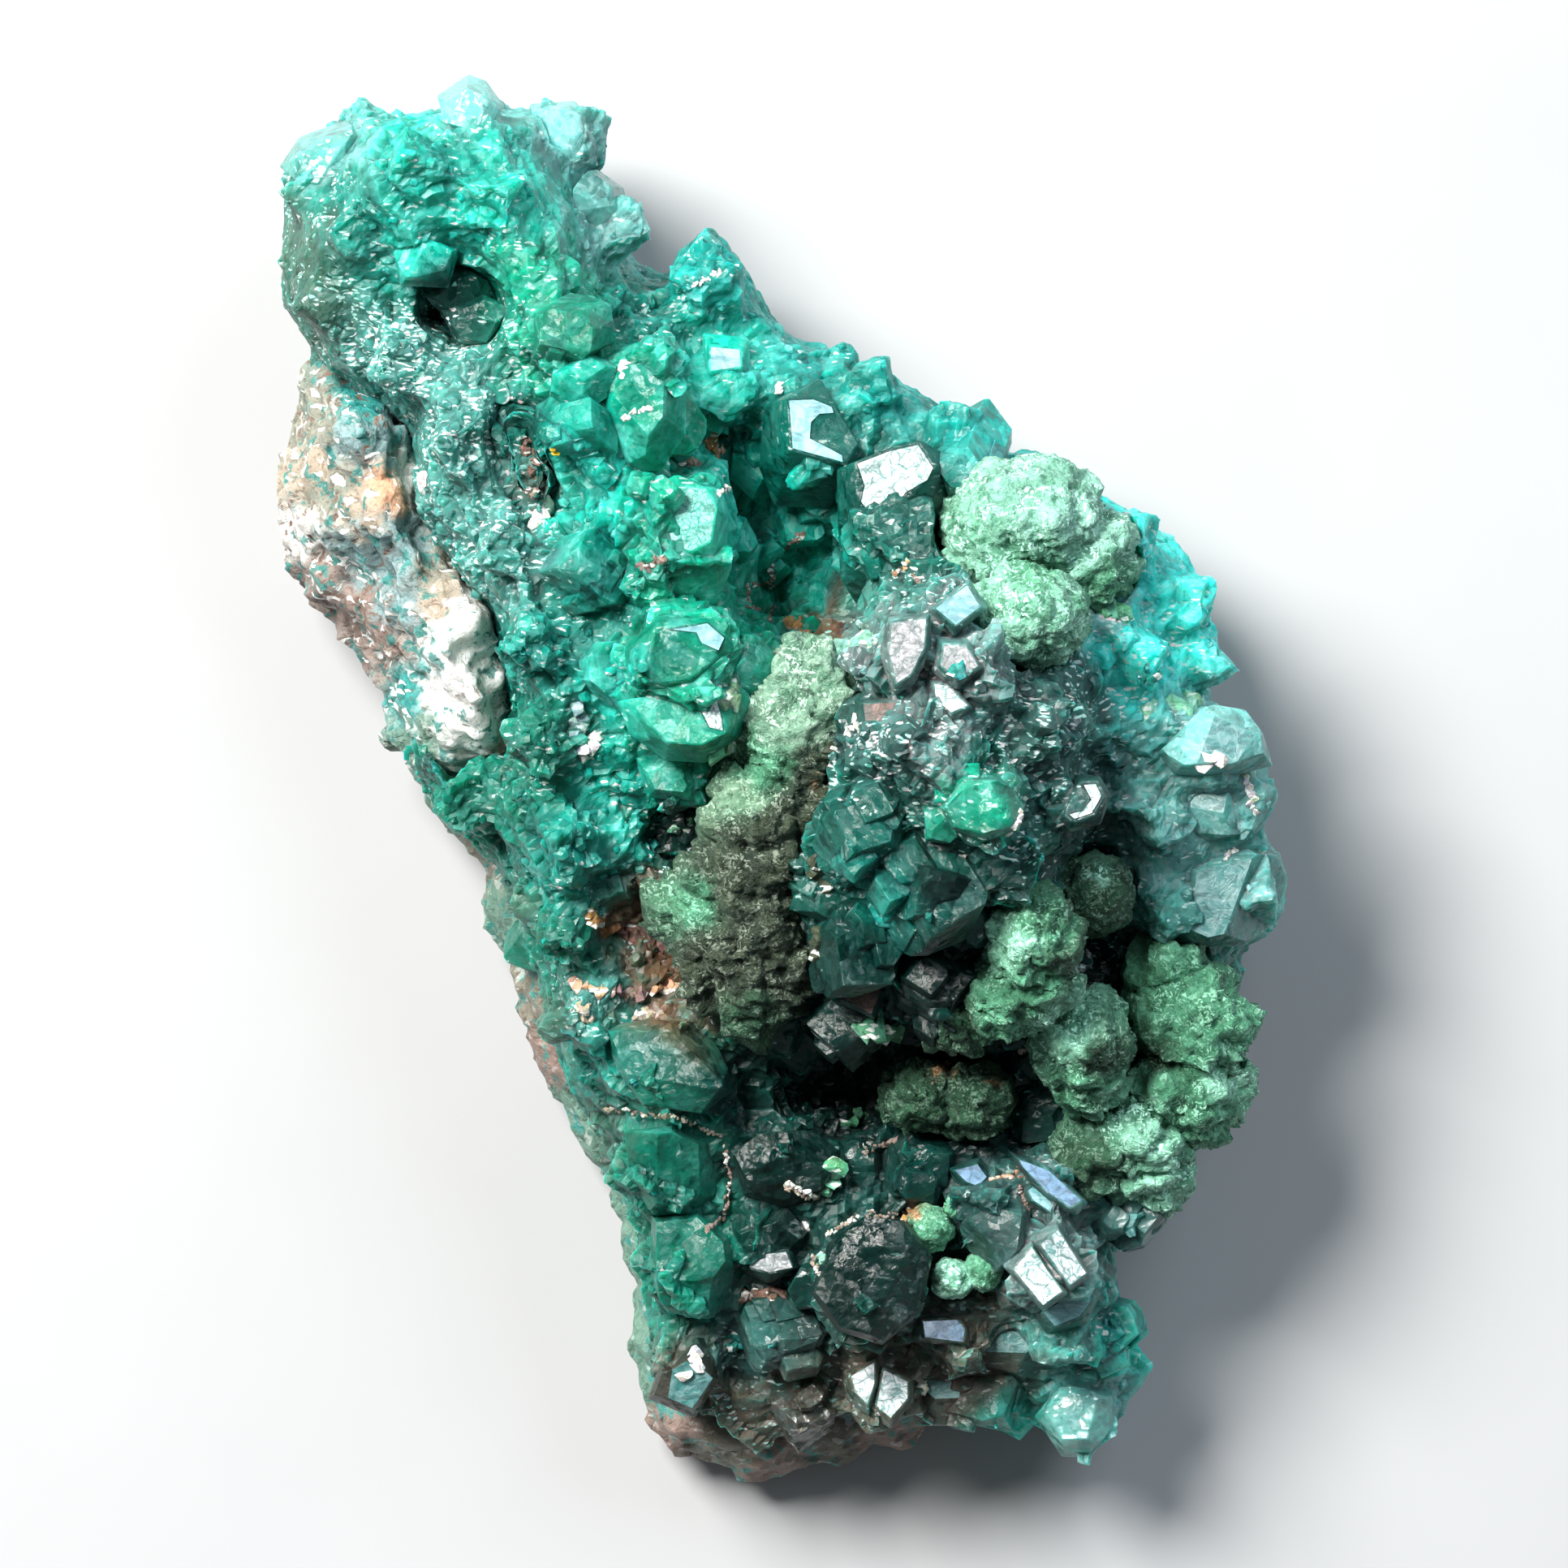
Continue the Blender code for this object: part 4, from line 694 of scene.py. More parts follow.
# faces and plates with a pale, white, blue or violet finish are painted highlights and painted reflections
# of the lights
facedCrystals = {
    "crystal with the hooked face": {
        "top": [(0.15, 15.05), (1.2, 15.1), (2.05, 14.7), (2.9, 13.3), (2.4, 12.5), (0.25, 13.0)],
        "slope": "toSky", "finish": "crystal", "shade": 0.5,
        "skirt": [(-0.8, 14.8, 1.4), (-1.0, 12.4, 2.4), (-0.4, 10.9, 3.6), (1.9, 10.8, 3.4),
            (3.2, 12.8, 1.0), (1.4, 15.9, 1.2)],
        "plate": [(0.15, 15.0), (1.15, 15.05), (1.9, 14.75), (2.0, 14.45), (1.4, 14.4), (1.1, 14.1),
            (1.05, 13.5),
                  (1.45, 13.3), (2.3, 12.85), (2.35, 12.5), (0.3, 13.05)],
        "plateFinish": "pale",
    },
    "stubby prism": {
        "top": [(2.7, 12.55), (4.3, 13.15), (5.3, 13.4), (5.95, 12.3), (4.6, 10.85), (3.25, 10.4),
            (2.85, 11.2)],
        "slope": "toLight", "finish": "crystal", "shade": 0.5, "lift": 0.5,
        "skirt": [(2.05, 12.3, 1.2), (2.1, 10.2, 1.6), (2.2, 8.0, 3.0), (3.0, 6.7, 4.2), (4.4, 6.0, 5.0),
            (5.8, 6.4, 4.6),
                  (6.8, 8.6, 3.2), (6.95, 11.2, 2.2), (6.3, 12.9, 1.2), (4.2, 8.3, 1.3), (5.6, 9.2, 1.0)],
        "plate": [(2.8, 12.5), (4.1, 13.0), (5.25, 13.25), (5.85, 12.3), (5.6, 11.8), (4.75, 11.3),
            (4.45, 10.85),
                  (3.3, 10.5), (2.95, 11.0), (3.1, 11.6)],
        "plateFinish": "painted_highlight",
    },
    "square crystal": {
        "top": [(5.75, 6.75), (7.05, 7.7), (7.6, 6.8), (6.6, 6.05)], "slope": "toSky", "finish": "pale",
        "shade": 1.0,
        "lift": 0.3,
    },
    "striped prism": {
        "top": [(-2.9, 17.15), (-1.7, 17.05), (-1.65, 16.3), (-2.9, 16.1)], "slope": "toSky",
        "finish": "pale",
        "shade": 1.1,
        "skirt": [(-3.2, 17.7, 0.8), (-1.4, 17.5, 0.8), (-1.2, 15.6, 1.4), (-1.6, 14.6, 2.4),
            (-2.1, 14.75, 2.2), (-3.1, 15.3, 1.6)],
    },
    "frosted crystal": {
        "top": [(-5.3, 11.3), (-4.0, 11.55), (-3.0, 11.45), (-2.6, 10.7), (-2.8, 9.4), (-3.6, 8.95),
            (-4.6, 9.3), (-5.2, 10.2)],
        "slope": "toLight", "finish": "frosted", "shade": 1.2,
        "skirt": [(-5.9, 11.0, 1.2), (-5.9, 9.0, 1.4), (-5.1, 7.0, 2.2), (-4.2, 6.3, 2.6), (-2.7, 6.6, 2.6),
            (-2.0, 8.4, 1.6),
                  (-2.0, 10.2, 1.2), (-2.4, 11.4, 1.2), (-4.2, 12.0, 1.0), (-5.0, 8.2, 0.7),
                  (-2.6, 8.1, 0.8)],
    },
    "column prism": {
        "top": [(-6.75, 16.9), (-5.2, 17.3), (-4.6, 16.6), (-4.7, 14.2), (-5.6, 13.0), (-6.5, 13.6)],
        "slope": "level", "finish": "crystal", "shade": 1.15,
        "skirt": [(-7.2, 16.6, 1.2), (-7.1, 13.8, 1.2), (-6.4, 12.2, 1.6), (-4.8, 12.1, 1.8),
            (-3.8, 13.6, 1.8), (-3.8, 16.0, 1.6), (-4.9, 17.5, 1.0)],
    },
    "cluster top": {
        "top": [(-5.0, 6.0), (-2.9, 6.3), (-2.2, 5.7), (-2.5, 5.05), (-3.6, 4.0), (-4.6, 3.9), (-5.2, 4.6)],
        "slope": "toSky", "finish": "crystal", "shade": 0.9, "lift": 0.4,
        "plate": [(-4.6, 5.95), (-2.95, 6.25), (-2.25, 5.65), (-2.5, 5.1), (-3.2, 5.4), (-3.4, 5.8)],
        "plateFinish": "pale",
        "skirt": [(-6.2, 5.2, 1.2), (-6.0, 3.9, 1.4), (-4.4, 3.4, 1.2), (-3.2, 3.6, 1.0), (-1.9, 5.2, 0.8),
            (-2.2, 6.4, 0.8), (-4.8, 6.6, 0.8)],
    },
    "cluster right": {
        "top": [(-2.3, 5.6), (-0.9, 5.6), (-0.45, 4.6), (-0.9, 3.6), (-2.0, 4.3), (-3.0, 4.0)],
        "slope": "away",
        "finish": "crystal", "shade": 0.75,
    },
    "cluster low": {
        "top": [(-5.9, 3.3), (-4.4, 3.2), (-3.5, 3.6), (-2.6, 3.5), (-2.2, 2.0), (-3.2, 1.5), (-4.4, 1.6),
            (-5.2, 2.3)],
        "slope": "toLight", "finish": "crystal", "shade": 0.95, "lift": 0.3,
        "plate": [(-3.55, 3.45), (-3.25, 3.65), (-2.6, 3.45), (-2.4, 2.7), (-2.3, 2.0), (-2.9, 2.15)],
        "plateFinish": "painted_highlight",
        "skirt": [(-6.5, 3.2, 1.2), (-6.0, 1.9, 1.6), (-4.6, 0.9, 1.8), (-3.0, 0.8, 1.8), (-1.7, 1.8, 1.6),
            (-1.2, 3.2, 1.6), (-1.6, 4.0, 1.2)],
    },
    "cluster foot": {
        "top": [(-5.5, 0.9), (-4.2, 1.1), (-3.5, 0.4), (-3.9, -0.3), (-5.0, -0.2)], "slope": "level",
        "finish": "crystal", "shade": 0.9,
    },
    "lump emerald": {
        "top": [(6.3, -0.9), (7.0, 0.0), (8.1, 0.05), (8.9, -0.8), (8.6, -1.6), (7.6, -1.9), (6.6, -1.6)],
        "slope": "toFront", "finish": "crystal", "shade": 1.2, "lift": 0.3,
    },
    "violet facets": {
        "top": [(4.1, 6.2), (5.5, 6.4), (5.4, 5.2), (4.9, 4.2), (4.3, 3.8), (4.0, 5.0)], "slope": "toLight",
        "finish": "painted_violet_sheen", "shade": 1.0, "lift": 0.3,
    },
    "violet facet right": {
        "top": [(6.1, 5.4), (7.0, 5.3), (7.5, 4.5), (6.6, 4.0), (6.0, 4.5)], "slope": "toLight",
        "finish": "painted_violet_sheen",
        "shade": 1.0, "lift": 0.2,
    },
    "violet facet low": {
        "top": [(5.7, 3.9), (6.3, 3.8), (7.1, 3.0), (6.4, 2.7), (5.8, 3.2)], "slope": "toLight",
        "finish": "painted_highlight",
        "shade": 1.0, "lift": 0.2,
    },
    "dark lump face": {
        "top": [(3.4, -4.2), (5.0, -3.2), (6.8, -3.6), (7.9, -4.2), (6.4, -5.1), (4.6, -5.0)],
        "slope": "away",
        "finish": "crystal", "shade": 0.6, "lift": 0.3,
    },
    "teal lump facet": {
        "top": [(2.8, -4.7), (4.0, -4.6), (5.3, -5.2), (4.9, -5.6), (3.6, -5.5)], "slope": "toFront",
        "finish": "crystal", "shade": 2.2,
    },
    "teal lump spot": {
        "top": [(2.2, -2.4), (3.0, -2.0), (3.5, -2.8), (2.7, -3.4), (2.2, -3.0)], "slope": "level",
        "finish": "crystal", "shade": 2.0, "lift": 0.2,
    },
    "brown facet": {
        "top": [(2.1, -7.2), (3.8, -8.0), (3.4, -9.0), (2.2, -8.3)], "slope": "toLight", "finish": "brown",
        "shade": 1.0, "lift": 0.2,
    },
    "brown upper facet": {
        "top": [(3.0, 3.1), (4.4, 3.2), (4.3, 2.2), (3.1, 2.3)], "slope": "level", "finish": "brown",
        "shade": 1.0,
    },
    "hook": {
        "top": [(11.4, 0.1), (12.1, 0.1), (12.4, -0.5), (12.0, -1.2), (11.2, -1.5), (10.8, -1.2)],
        "slope": "toLight",
        "finish": "crystal", "shade": 0.8, "lift": 0.2,
        "plate": [(11.5, 0.0), (12.05, 0.05), (12.3, -0.45), (11.9, -1.15), (11.2, -1.4), (10.9, -1.15),
            (11.5, -1.0), (11.8, -0.6)],
        "plateFinish": "painted_highlight",
    },
    "right plate": {
        "top": [(14.8, 1.5), (15.6, 2.0), (16.3, 3.0), (17.9, 2.8), (18.5, 2.2), (18.6, 1.3), (17.4, 0.8),
            (15.6, 0.8)],
        "slope": "toSky", "finish": "mist", "shade": 1.3, "lift": 0.2,
        "skirt": [(14.6, 1.2, 1.2), (15.2, 0.4, 1.4), (17.0, 0.2, 1.4), (19.1, 0.7, 2.2), (18.7, 2.0, 2.0),
            (18.0, 2.9, 1.8), (16.8, 3.1, 1.4)],
    },
    "right middle": {
        "top": [(15.2, 0.2), (17.2, 0.4), (18.7, 0.3), (18.9, -0.8), (18.0, -1.8), (16.0, -1.6),
            (14.9, -0.8)],
        "slope": "toLight", "finish": "mist", "shade": 0.9, "lift": 0.1,
        "skirt": [(14.4, 0.2, 1.2), (14.2, -1.6, 1.6), (16.0, -2.4, 1.6), (18.6, -2.0, 1.8),
            (19.2, -1.0, 1.8), (19.2, 0.2, 1.8)],
    },
    "right low": {
        "top": [(15.2, -2.6), (17.6, -2.4), (19.0, -3.0), (19.4, -4.6), (18.4, -5.6), (16.6, -6.0),
            (15.2, -5.4), (14.8, -3.8)],
        "slope": "level", "finish": "mist", "shade": 0.75, "lift": 0.1,
        "skirt": [(14.2, -2.8, 1.4), (13.9, -5.2, 1.8), (15.2, -6.4, 1.8), (18.0, -6.4, 2.2),
            (19.6, -5.4, 3.0), (19.9, -4.0, 3.0), (19.5, -2.7, 2.6), (17.0, -1.9, 1.6)],
    },
    "emerald block": {
        "top": [(-6.8, -9.7), (-5.4, -9.4), (-3.6, -9.5), (-2.8, -10.2), (-2.4, -11.8), (-3.4, -12.6),
            (-5.4, -12.4), (-6.2, -11.2)],
        "slope": "level", "finish": "crystal", "shade": 0.9, "lift": 0.1,
    },
    "teal block": {
        "top": [(-6.0, -13.8), (-4.4, -13.6), (-3.2, -14.2), (-3.0, -15.8), (-3.8, -16.6), (-5.2, -16.4),
            (-5.8, -15.4)],
        "slope": "away", "finish": "crystal", "shade": 1.0,
    },
    "teal low block": {
        "top": [(-5.0, -17.2), (-3.4, -17.0), (-2.4, -18.0), (-2.2, -19.6), (-2.8, -20.8), (-4.4, -20.8),
            (-5.0, -19.4)],
        "slope": "level", "finish": "crystal", "shade": 1.0,
    },
    # the dark blocks below are partly deep crystal and partly painted shade: their low shades darken this
    # lower part, which lies in shade
    "dark block": {
        "top": [(-1.7, -14.6), (-0.8, -13.8), (1.0, -13.8), (2.2, -14.6), (1.4, -15.9), (0.0, -16.3),
            (-1.4, -16.0)],
        "slope": "toFront", "finish": "crystal", "shade": 0.42,
    },
    "dark low block": {
        "top": [(-1.9, -16.9), (0.0, -16.8), (0.8, -17.6), (0.2, -18.3), (-1.6, -18.2)], "slope": "toFront",
        "finish": "crystal", "shade": 0.4,
    },
    "grey face": {
        "top": [(-1.4, -18.5), (0.1, -18.3), (0.4, -19.0), (-0.6, -19.2), (-1.4, -19.0)],
        "slope": "toLight",
        "finish": "painted_violet_sheen", "shade": 0.6,
    },
    "large dark crystal": {
        "top": [(2.0, -18.2), (3.2, -17.1), (4.6, -17.2), (5.4, -18.6), (5.0, -20.4), (3.8, -21.6),
            (2.2, -21.2), (1.3, -19.8)],
        "slope": "level", "finish": "crystal", "shade": 0.4, "lift": 0.2,
    },
    "grey block": {
        "top": [(7.1, -16.2), (8.6, -15.9), (9.3, -16.8), (9.1, -18.2), (8.2, -18.8), (7.2, -18.0)],
        "slope": "level",
        "finish": "crystal", "shade": 0.9,
    },
    "white rhomb": {
        "top": [(9.7, -18.05), (10.9, -19.8), (10.1, -20.4), (8.9, -18.95)], "slope": "toLight",
        "finish": "painted_highlight",
        "shade": 1.0, "lift": 0.2,
    },
    "white rhomb corner": {
        "top": [(10.7, -17.35), (11.85, -19.1), (11.15, -19.6), (9.95, -17.95)], "slope": "toSky",
        "finish": "painted_highlight",
        "shade": 0.9, "lift": 0.3,
    },
    # the crystals down in the clefts get shades below 1: painted shade of the cleft
    "cleft crystal": {
        "top": [(-14.9, 20.3), (-13.4, 20.6), (-11.6, 19.6), (-11.2, 18.2), (-12.2, 17.9), (-13.4, 18.8)],
        "slope": "away",
        "finish": "crystal", "shade": 0.6, "lift": 2.6,
    },
    "cleft crystal right": {
        "top": [(-13.3, 18.6), (-12.6, 17.4), (-11.6, 17.2), (-11.0, 18.4), (-12.2, 18.9)],
        "slope": "toFront",
        "finish": "crystal", "shade": 0.8, "lift": 2.6,
    },
    "cleft crystal top": {
        "top": [(-14.9, 20.8), (-13.9, 21.2), (-12.9, 20.7), (-13.3, 19.6), (-14.6, 19.7)],
        "slope": "toRight",
        "finish": "crystal", "shade": 1.3, "lift": 0.1,
    },
    "cleft crystal low": {
        "top": [(-10.9, 15.2), (-10.0, 15.3), (-9.6, 13.8), (-10.2, 12.9), (-10.9, 13.6)],
        "slope": "toFront",
        "finish": "crystal", "shade": 0.8, "lift": 1.4,
    },
    "grey rhomb": {
        "top": [(10.1, -20.7), (11.8, -19.6), (12.2, -20.1), (11.6, -20.9), (10.6, -21.3)],
        "slope": "toFront",
        "finish": "pale", "shade": 0.8,
    },
    "blue face": {
        "top": [(6.6, -15.1), (7.6, -14.85), (8.0, -15.4), (7.6, -15.8), (7.1, -15.6)], "slope": "toSky",
        "finish": "painted_sky_reflection", "shade": 1.0, "lift": 0.2,
    },
    "long blue face": {
        "top": [(9.1, -14.6), (10.4, -15.1), (11.7, -16.3), (11.2, -16.6), (10.3, -16.0), (9.3, -15.0)],
        "slope": "toSky",
        "finish": "painted_sky_reflection", "shade": 1.1, "lift": 0.2,
    },
    "pale sliver": {
        "top": [(9.5, -15.9), (9.75, -15.7), (10.6, -16.45), (10.45, -16.8), (9.7, -16.3)],
        "slope": "toSky",
        "finish": "pale", "shade": 1.0, "lift": 0.1,
    },
    "low blue face": {
        "top": [(5.4, -21.05), (6.8, -21.0), (7.15, -21.4), (7.05, -21.95), (5.5, -21.75)],
        "slope": "toSky",
        "finish": "painted_sky_reflection", "shade": 1.0, "lift": 0.2,
    },
    "grey low crystal": {
        "top": [(7.4, -20.8), (9.2, -20.9), (11.6, -21.6), (11.8, -22.3), (10.0, -23.2), (8.0, -22.8),
            (7.2, -22.2)],
        "slope": "level", "finish": "mist", "shade": 0.7,
    },
    "broken white face": {
        "top": [(2.6, -23.3), (3.6, -22.7), (3.6, -23.6), (3.3, -24.5), (2.8, -24.0)], "slope": "toLight",
        "finish": "painted_highlight", "shade": 1.0, "lift": 0.2,
    },
    "broken white face right": {
        "top": [(3.9, -23.0), (4.9, -23.5), (4.9, -24.2), (4.2, -25.0), (3.6, -24.5), (3.8, -23.8)],
        "slope": "toLight",
        "finish": "painted_highlight", "shade": 1.0, "lift": 0.3,
    },
    "teal edge crystal": {
        "top": [(12.2, -20.9), (13.0, -20.4), (13.3, -21.6), (13.4, -22.6), (12.6, -23.0), (12.1, -22.0)],
        "slope": "toRight", "finish": "crystal", "shade": 1.3,
    },
    "teal corner": {
        "top": [(8.6, -24.9), (9.6, -24.9), (9.9, -25.3), (9.3, -25.7), (8.7, -25.4)], "slope": "toFront",
        "finish": "crystal", "shade": 1.6,
    },
    "knob clear": {
        "top": [(-9.7, 26.0), (-8.7, 26.5), (-7.9, 26.2), (-7.5, 25.2), (-8.2, 24.4), (-9.5, 24.6)],
        "slope": "toSky",
        "finish": "clear", "shade": 2.6, "lift": 0.2,
        "skirt": [(-10.0, 26.7, 1.8), (-8.2, 26.85, 2.2), (-7.1, 25.2, 2.2), (-7.3, 24.2, 1.6),
            (-9.8, 24.0, 1.2)],
    },
    "knob shoulder clear": {
        "top": [(-7.9, 23.9), (-6.9, 23.4), (-6.4, 22.2), (-6.5, 21.2), (-7.6, 20.9), (-8.3, 22.2)],
        "slope": "away",
        "finish": "clear", "shade": 1.4, "lift": 0.1,
        "skirt": [(-7.3, 24.1, 1.6), (-6.3, 23.4, 2.0), (-5.95, 22.2, 2.2), (-6.0, 20.9, 2.0),
            (-7.8, 20.2, 1.2), (-8.8, 22.2, 1.0)],
    },
    "knob top clear": {
        "top": [(-13.0, 26.4), (-12.3, 27.0), (-11.6, 26.7), (-11.3, 25.9), (-12.2, 25.4), (-13.2, 25.7)],
        "slope": "level",
        "finish": "clear", "shade": 2.4, "lift": 0.3,
        "skirt": [(-13.5, 26.8, 1.6), (-12.3, 27.65, 2.0), (-11.6, 27.4, 2.0), (-10.9, 26.4, 1.4),
            (-11.6, 25.0, 1.0)],
    },
    "knob corner clear": {
        "top": [(-19.2, 24.4), (-18.2, 25.2), (-16.9, 25.5), (-16.6, 24.4), (-17.8, 23.4), (-19.0, 23.5)],
        "slope": "toLight",
        "finish": "clear", "shade": 1.8, "lift": 0.2,
        "skirt": [(-19.8, 24.2, 1.8), (-19.0, 25.4, 2.0), (-17.0, 26.1, 1.8), (-16.2, 24.6, 1.0),
            (-17.4, 22.8, 1.0)],
    },
    "bottom corner clear": {
        "top": [(10.3, -24.8), (11.4, -24.0), (12.7, -24.4), (12.9, -25.4), (12.0, -26.2), (11.2, -26.2)],
        "slope": "toLight",
        "finish": "clear", "shade": 1.5, "lift": 0.2,
        "skirt": [(9.9, -25.0, 1.2), (11.0, -26.65, 1.8), (12.2, -26.65, 2.0), (13.15, -25.3, 1.8),
            (13.0, -24.0, 1.2), (11.2, -23.4, 1.0)],
    },
    "white crescent": {
        "top": [(12.4, -16.2), (13.4, -16.35), (15.0, -16.1), (14.4, -16.7), (13.6, -16.9), (12.7, -16.6)],
        "slope": "toLight", "finish": "painted_highlight", "shade": 1.0,
    },
    "grey clear crystal": {
        "top": [(4.9, -22.6), (7.0, -22.6), (7.4, -23.6), (7.0, -25.0), (5.4, -25.0), (5.2, -23.8)],
        "slope": "level",
        "finish": "mist", "shade": 0.7,
    },
    "base crystal": {
        "top": [(-4.4, -22.1), (-3.2, -21.9), (-2.8, -23.4), (-3.6, -24.6), (-5.0, -24.0)],
        "slope": "toFront",
        "finish": "mist", "shade": 0.45,
    },
}


def crystalPose(row):
    x, y, z, width, length, direction, lean, turn = row
    return (
        Matrix.Translation(Vector((x, y, z)) * mm)
        @ Euler((0.0, 0.0, math.radians(direction))).to_matrix().to_4x4()
        @ Euler((0.0, math.radians(lean), 0.0)).to_matrix().to_4x4()
        @ Euler((0.0, 0.0, math.radians(turn))).to_matrix().to_4x4()
        @ Matrix.Translation((0.0, 0.0, -dioptaseForm["seat"] * length * mm))
    )


def bevelled(work):
    edges = [edge for edge in work.edges if edge.calc_length() > 0.2 * mm]
    bmesh.ops.bevel(
        work, geom=edges, offset=dioptaseForm["bevel"] * mm, segments=1, affect="EDGES", clamp_overlap=True
    )
    bmesh.ops.recalc_face_normals(work, faces=work.faces)


def wholeWorks(groups, seed, offshoots=5):
    # each crystal carries a few smaller ones grown parallel to it
    chance = random.Random(seed)
    made = []
    for row in [row for rows in groups.values() for row in rows]:
        width, length = row[3:5]
        grow = dioptaseForm["swell"]
        shade = chance.uniform(0.75, 1.2)
        batch = [(width * grow, length * grow, Vector(), 0.12, 7)]
        for _ in range(offshoots):
            angle = chance.uniform(0.0, 2.0 * math.pi)
            out = chance.uniform(0.28, 0.45) * width
            up = chance.uniform(0.05, 0.35) * length
            share = chance.uniform(0.35, 0.65)
            shift = Vector((out * math.cos(angle), out * math.sin(angle), up)) * mm
            batch.append((share * width, share * length, shift, 0.15, 3))
        for crystalWidth, crystalLength, shift, uneven, chips in batch:
            work = crystalWork(crystalWidth, crystalLength, chance, uneven, chips)
            bmesh.ops.transform(work, matrix=crystalPose(row) @ Matrix.Translation(shift), verts=work.verts)
            made.append((work, shade * chance.uniform(0.9, 1.1)))
    return made


def facedWorks(sketches, surface):
    # the face sits on the frame's own surface, so a crystal stays where the solid has it
    made, plates = [], []
    chance = random.Random(12)
    for sketch in sketches.values():
        top = [Vector(corner) for corner in sketch["top"]]
        middle = sum(top, Vector((0.0, 0.0))) / len(top)
        alongX, alongY = faceSlopes[sketch["slope"]]
        level = surface(middle) + sketch.get("lift", 0.0)

        def onFace(spot):
            return level + alongX * (spot[0] - middle.x) + alongY * (spot[1] - middle.y)

        corners = [Vector((spot.x, spot.y, onFace(spot))) for spot in top]
        skirt = sketch.get("skirt")
        if skirt:
            corners += [Vector((x, y, level - drop)) for x, y, drop in skirt]
        else:
            for i, spot in enumerate(top):
                out = (spot - middle).normalized()
                lower = spot + (0.35 + 0.12 * math.sin(5.0 * i)) * out
                corners.append(Vector((lower.x, lower.y, onFace(spot) - 0.9 - 0.3 * math.cos(3.0 * i))))
        for spot in top:
            foot = middle + 0.7 * (spot - middle)
            corners.append(Vector((foot.x, foot.y, level - 3.6)))
        work = bmesh.new()
        for corner in corners:
            work.verts.new(corner * mm)
        hull = bmesh.ops.convex_hull(work, input=work.verts[:])
        spare = {item for item in hull["geom_interior"] + hull["geom_unused"] if isinstance(item,
            bmesh.types.BMVert)}
        bmesh.ops.delete(work, geom=list(spare), context="VERTS")
        bmesh.ops.dissolve_limit(work, angle_limit=math.radians(2), verts=work.verts, edges=work.edges)
        if "plate" not in sketch and sketch["finish"] in ("crystal", "mist", "clear"):
            # broken corners, as cleaved crystal has
            reach = min((spot - middle).length for spot in top)
            for _ in range(4):
                angle = chance.uniform(0.0, 2.0 * math.pi)
                tilt = math.radians(chance.uniform(20.0, 65.0))
                normal = Vector((math.cos(angle) * math.sin(tilt), math.sin(angle) * math.sin(tilt),
                    math.cos(tilt)))
                off = chance.uniform(0.35, 0.85) * reach
                point = Vector((middle.x, middle.y, level)) + off * Vector((math.cos(angle),
                    math.sin(angle), 0.0))
                cutAway(work, point * mm, normal)
        bmesh.ops.recalc_face_normals(work, faces=work.faces)
        made.append((work, sketch["shade"], sketch["finish"], Vector((-alongX, -alongY, 1.0)).normalized()))
        if "plate" in sketch:
            plates.append(([Vector((x, y, onFace((x, y)))) for x, y in sketch["plate"]],
                sketch["plateFinish"]))
    return made, plates


def planesOf(work):
    return np.array([(*face.normal,
        face.normal.dot(face.calc_center_median()) / mm) for face in work.faces])


def insideShare(points, planeSets, margin):
    # how near each point is to a crystal: 1 in it, 0 beyond the margin
    nearest = np.full(len(points), 1e9)
    for planes in planeSets:
        nearest = np.minimum(nearest, (points @ planes[:, :3].T - planes[:, 3]).max(axis=1))
    return np.clip(1.0 - nearest / margin, 0.0, 1.0)


def joinWorks(name, works, materials):
    whole = bmesh.new()
    shadeLayer = whole.verts.layers.float.new("shade")
    for work, shade, index, up in works:
        places = []
        for vert in work.verts:
            place = whole.verts.new(vert.co)
            place[shadeLayer] = shade
            places.append(place)
        work.verts.index_update()
        for face in work.faces:
            copy = whole.faces.new([places[vert.index] for vert in face.verts])
            copy.material_index = index if up and face.normal.dot(up) > 0.995 else 0
    mesh = bpy.data.meshes.new(name)
    whole.to_mesh(mesh)
    whole.free()
    made = linkMesh(name, mesh)
    for material in materials:
        mesh.materials.append(material)
    points = readPoints(mesh)
    writeColour(mesh, "tint", toneAt(points, toneSpots))
    # painted glints on the whole crystals, by place
    writeValue(mesh, "painted_glint_share", 0.4 * zoneShare(points, 6))
    return made


# finishes of single faces: painted highlights and painted sky reflections on cleavage faces, and frosted or
# stained faces

faceFinishes = {
    # base tone, second tone, cells per mm, roughness, bump
    # a painted reflection of the sky
    "pale": ((0.24, 0.46, 0.48), (0.10, 0.30, 0.32), 0.8, 0.16, 0.02),
    # a painted highlight: the white shine of the key light, with dark cracks
    "painted_highlight": ((0.62, 0.64, 0.66), (0.05, 0.19, 0.18), 1.5, 0.26, 0.08),
    "frosted": ((0.24, 0.58, 0.52), (0.01, 0.30, 0.22), 3.2, 0.28, 0.10),
    # a painted grey-violet sheen
    "painted_violet_sheen": ((0.26, 0.26, 0.28), (0.05, 0.09, 0.09), 2.0, 0.25, 0.06),
    # a painted reflection of the sky
    "painted_sky_reflection": ((0.10, 0.22, 0.36), (0.03, 0.10, 0.16), 1.0, 0.18, 0.02),
    "brown": ((0.16, 0.09, 0.07), (0.05, 0.05, 0.04), 1.5, 0.35, 0.04),
    "mist": ((0.04, 0.19, 0.18), (0.15, 0.30, 0.30), 0.9, 0.24, 0.08),
}


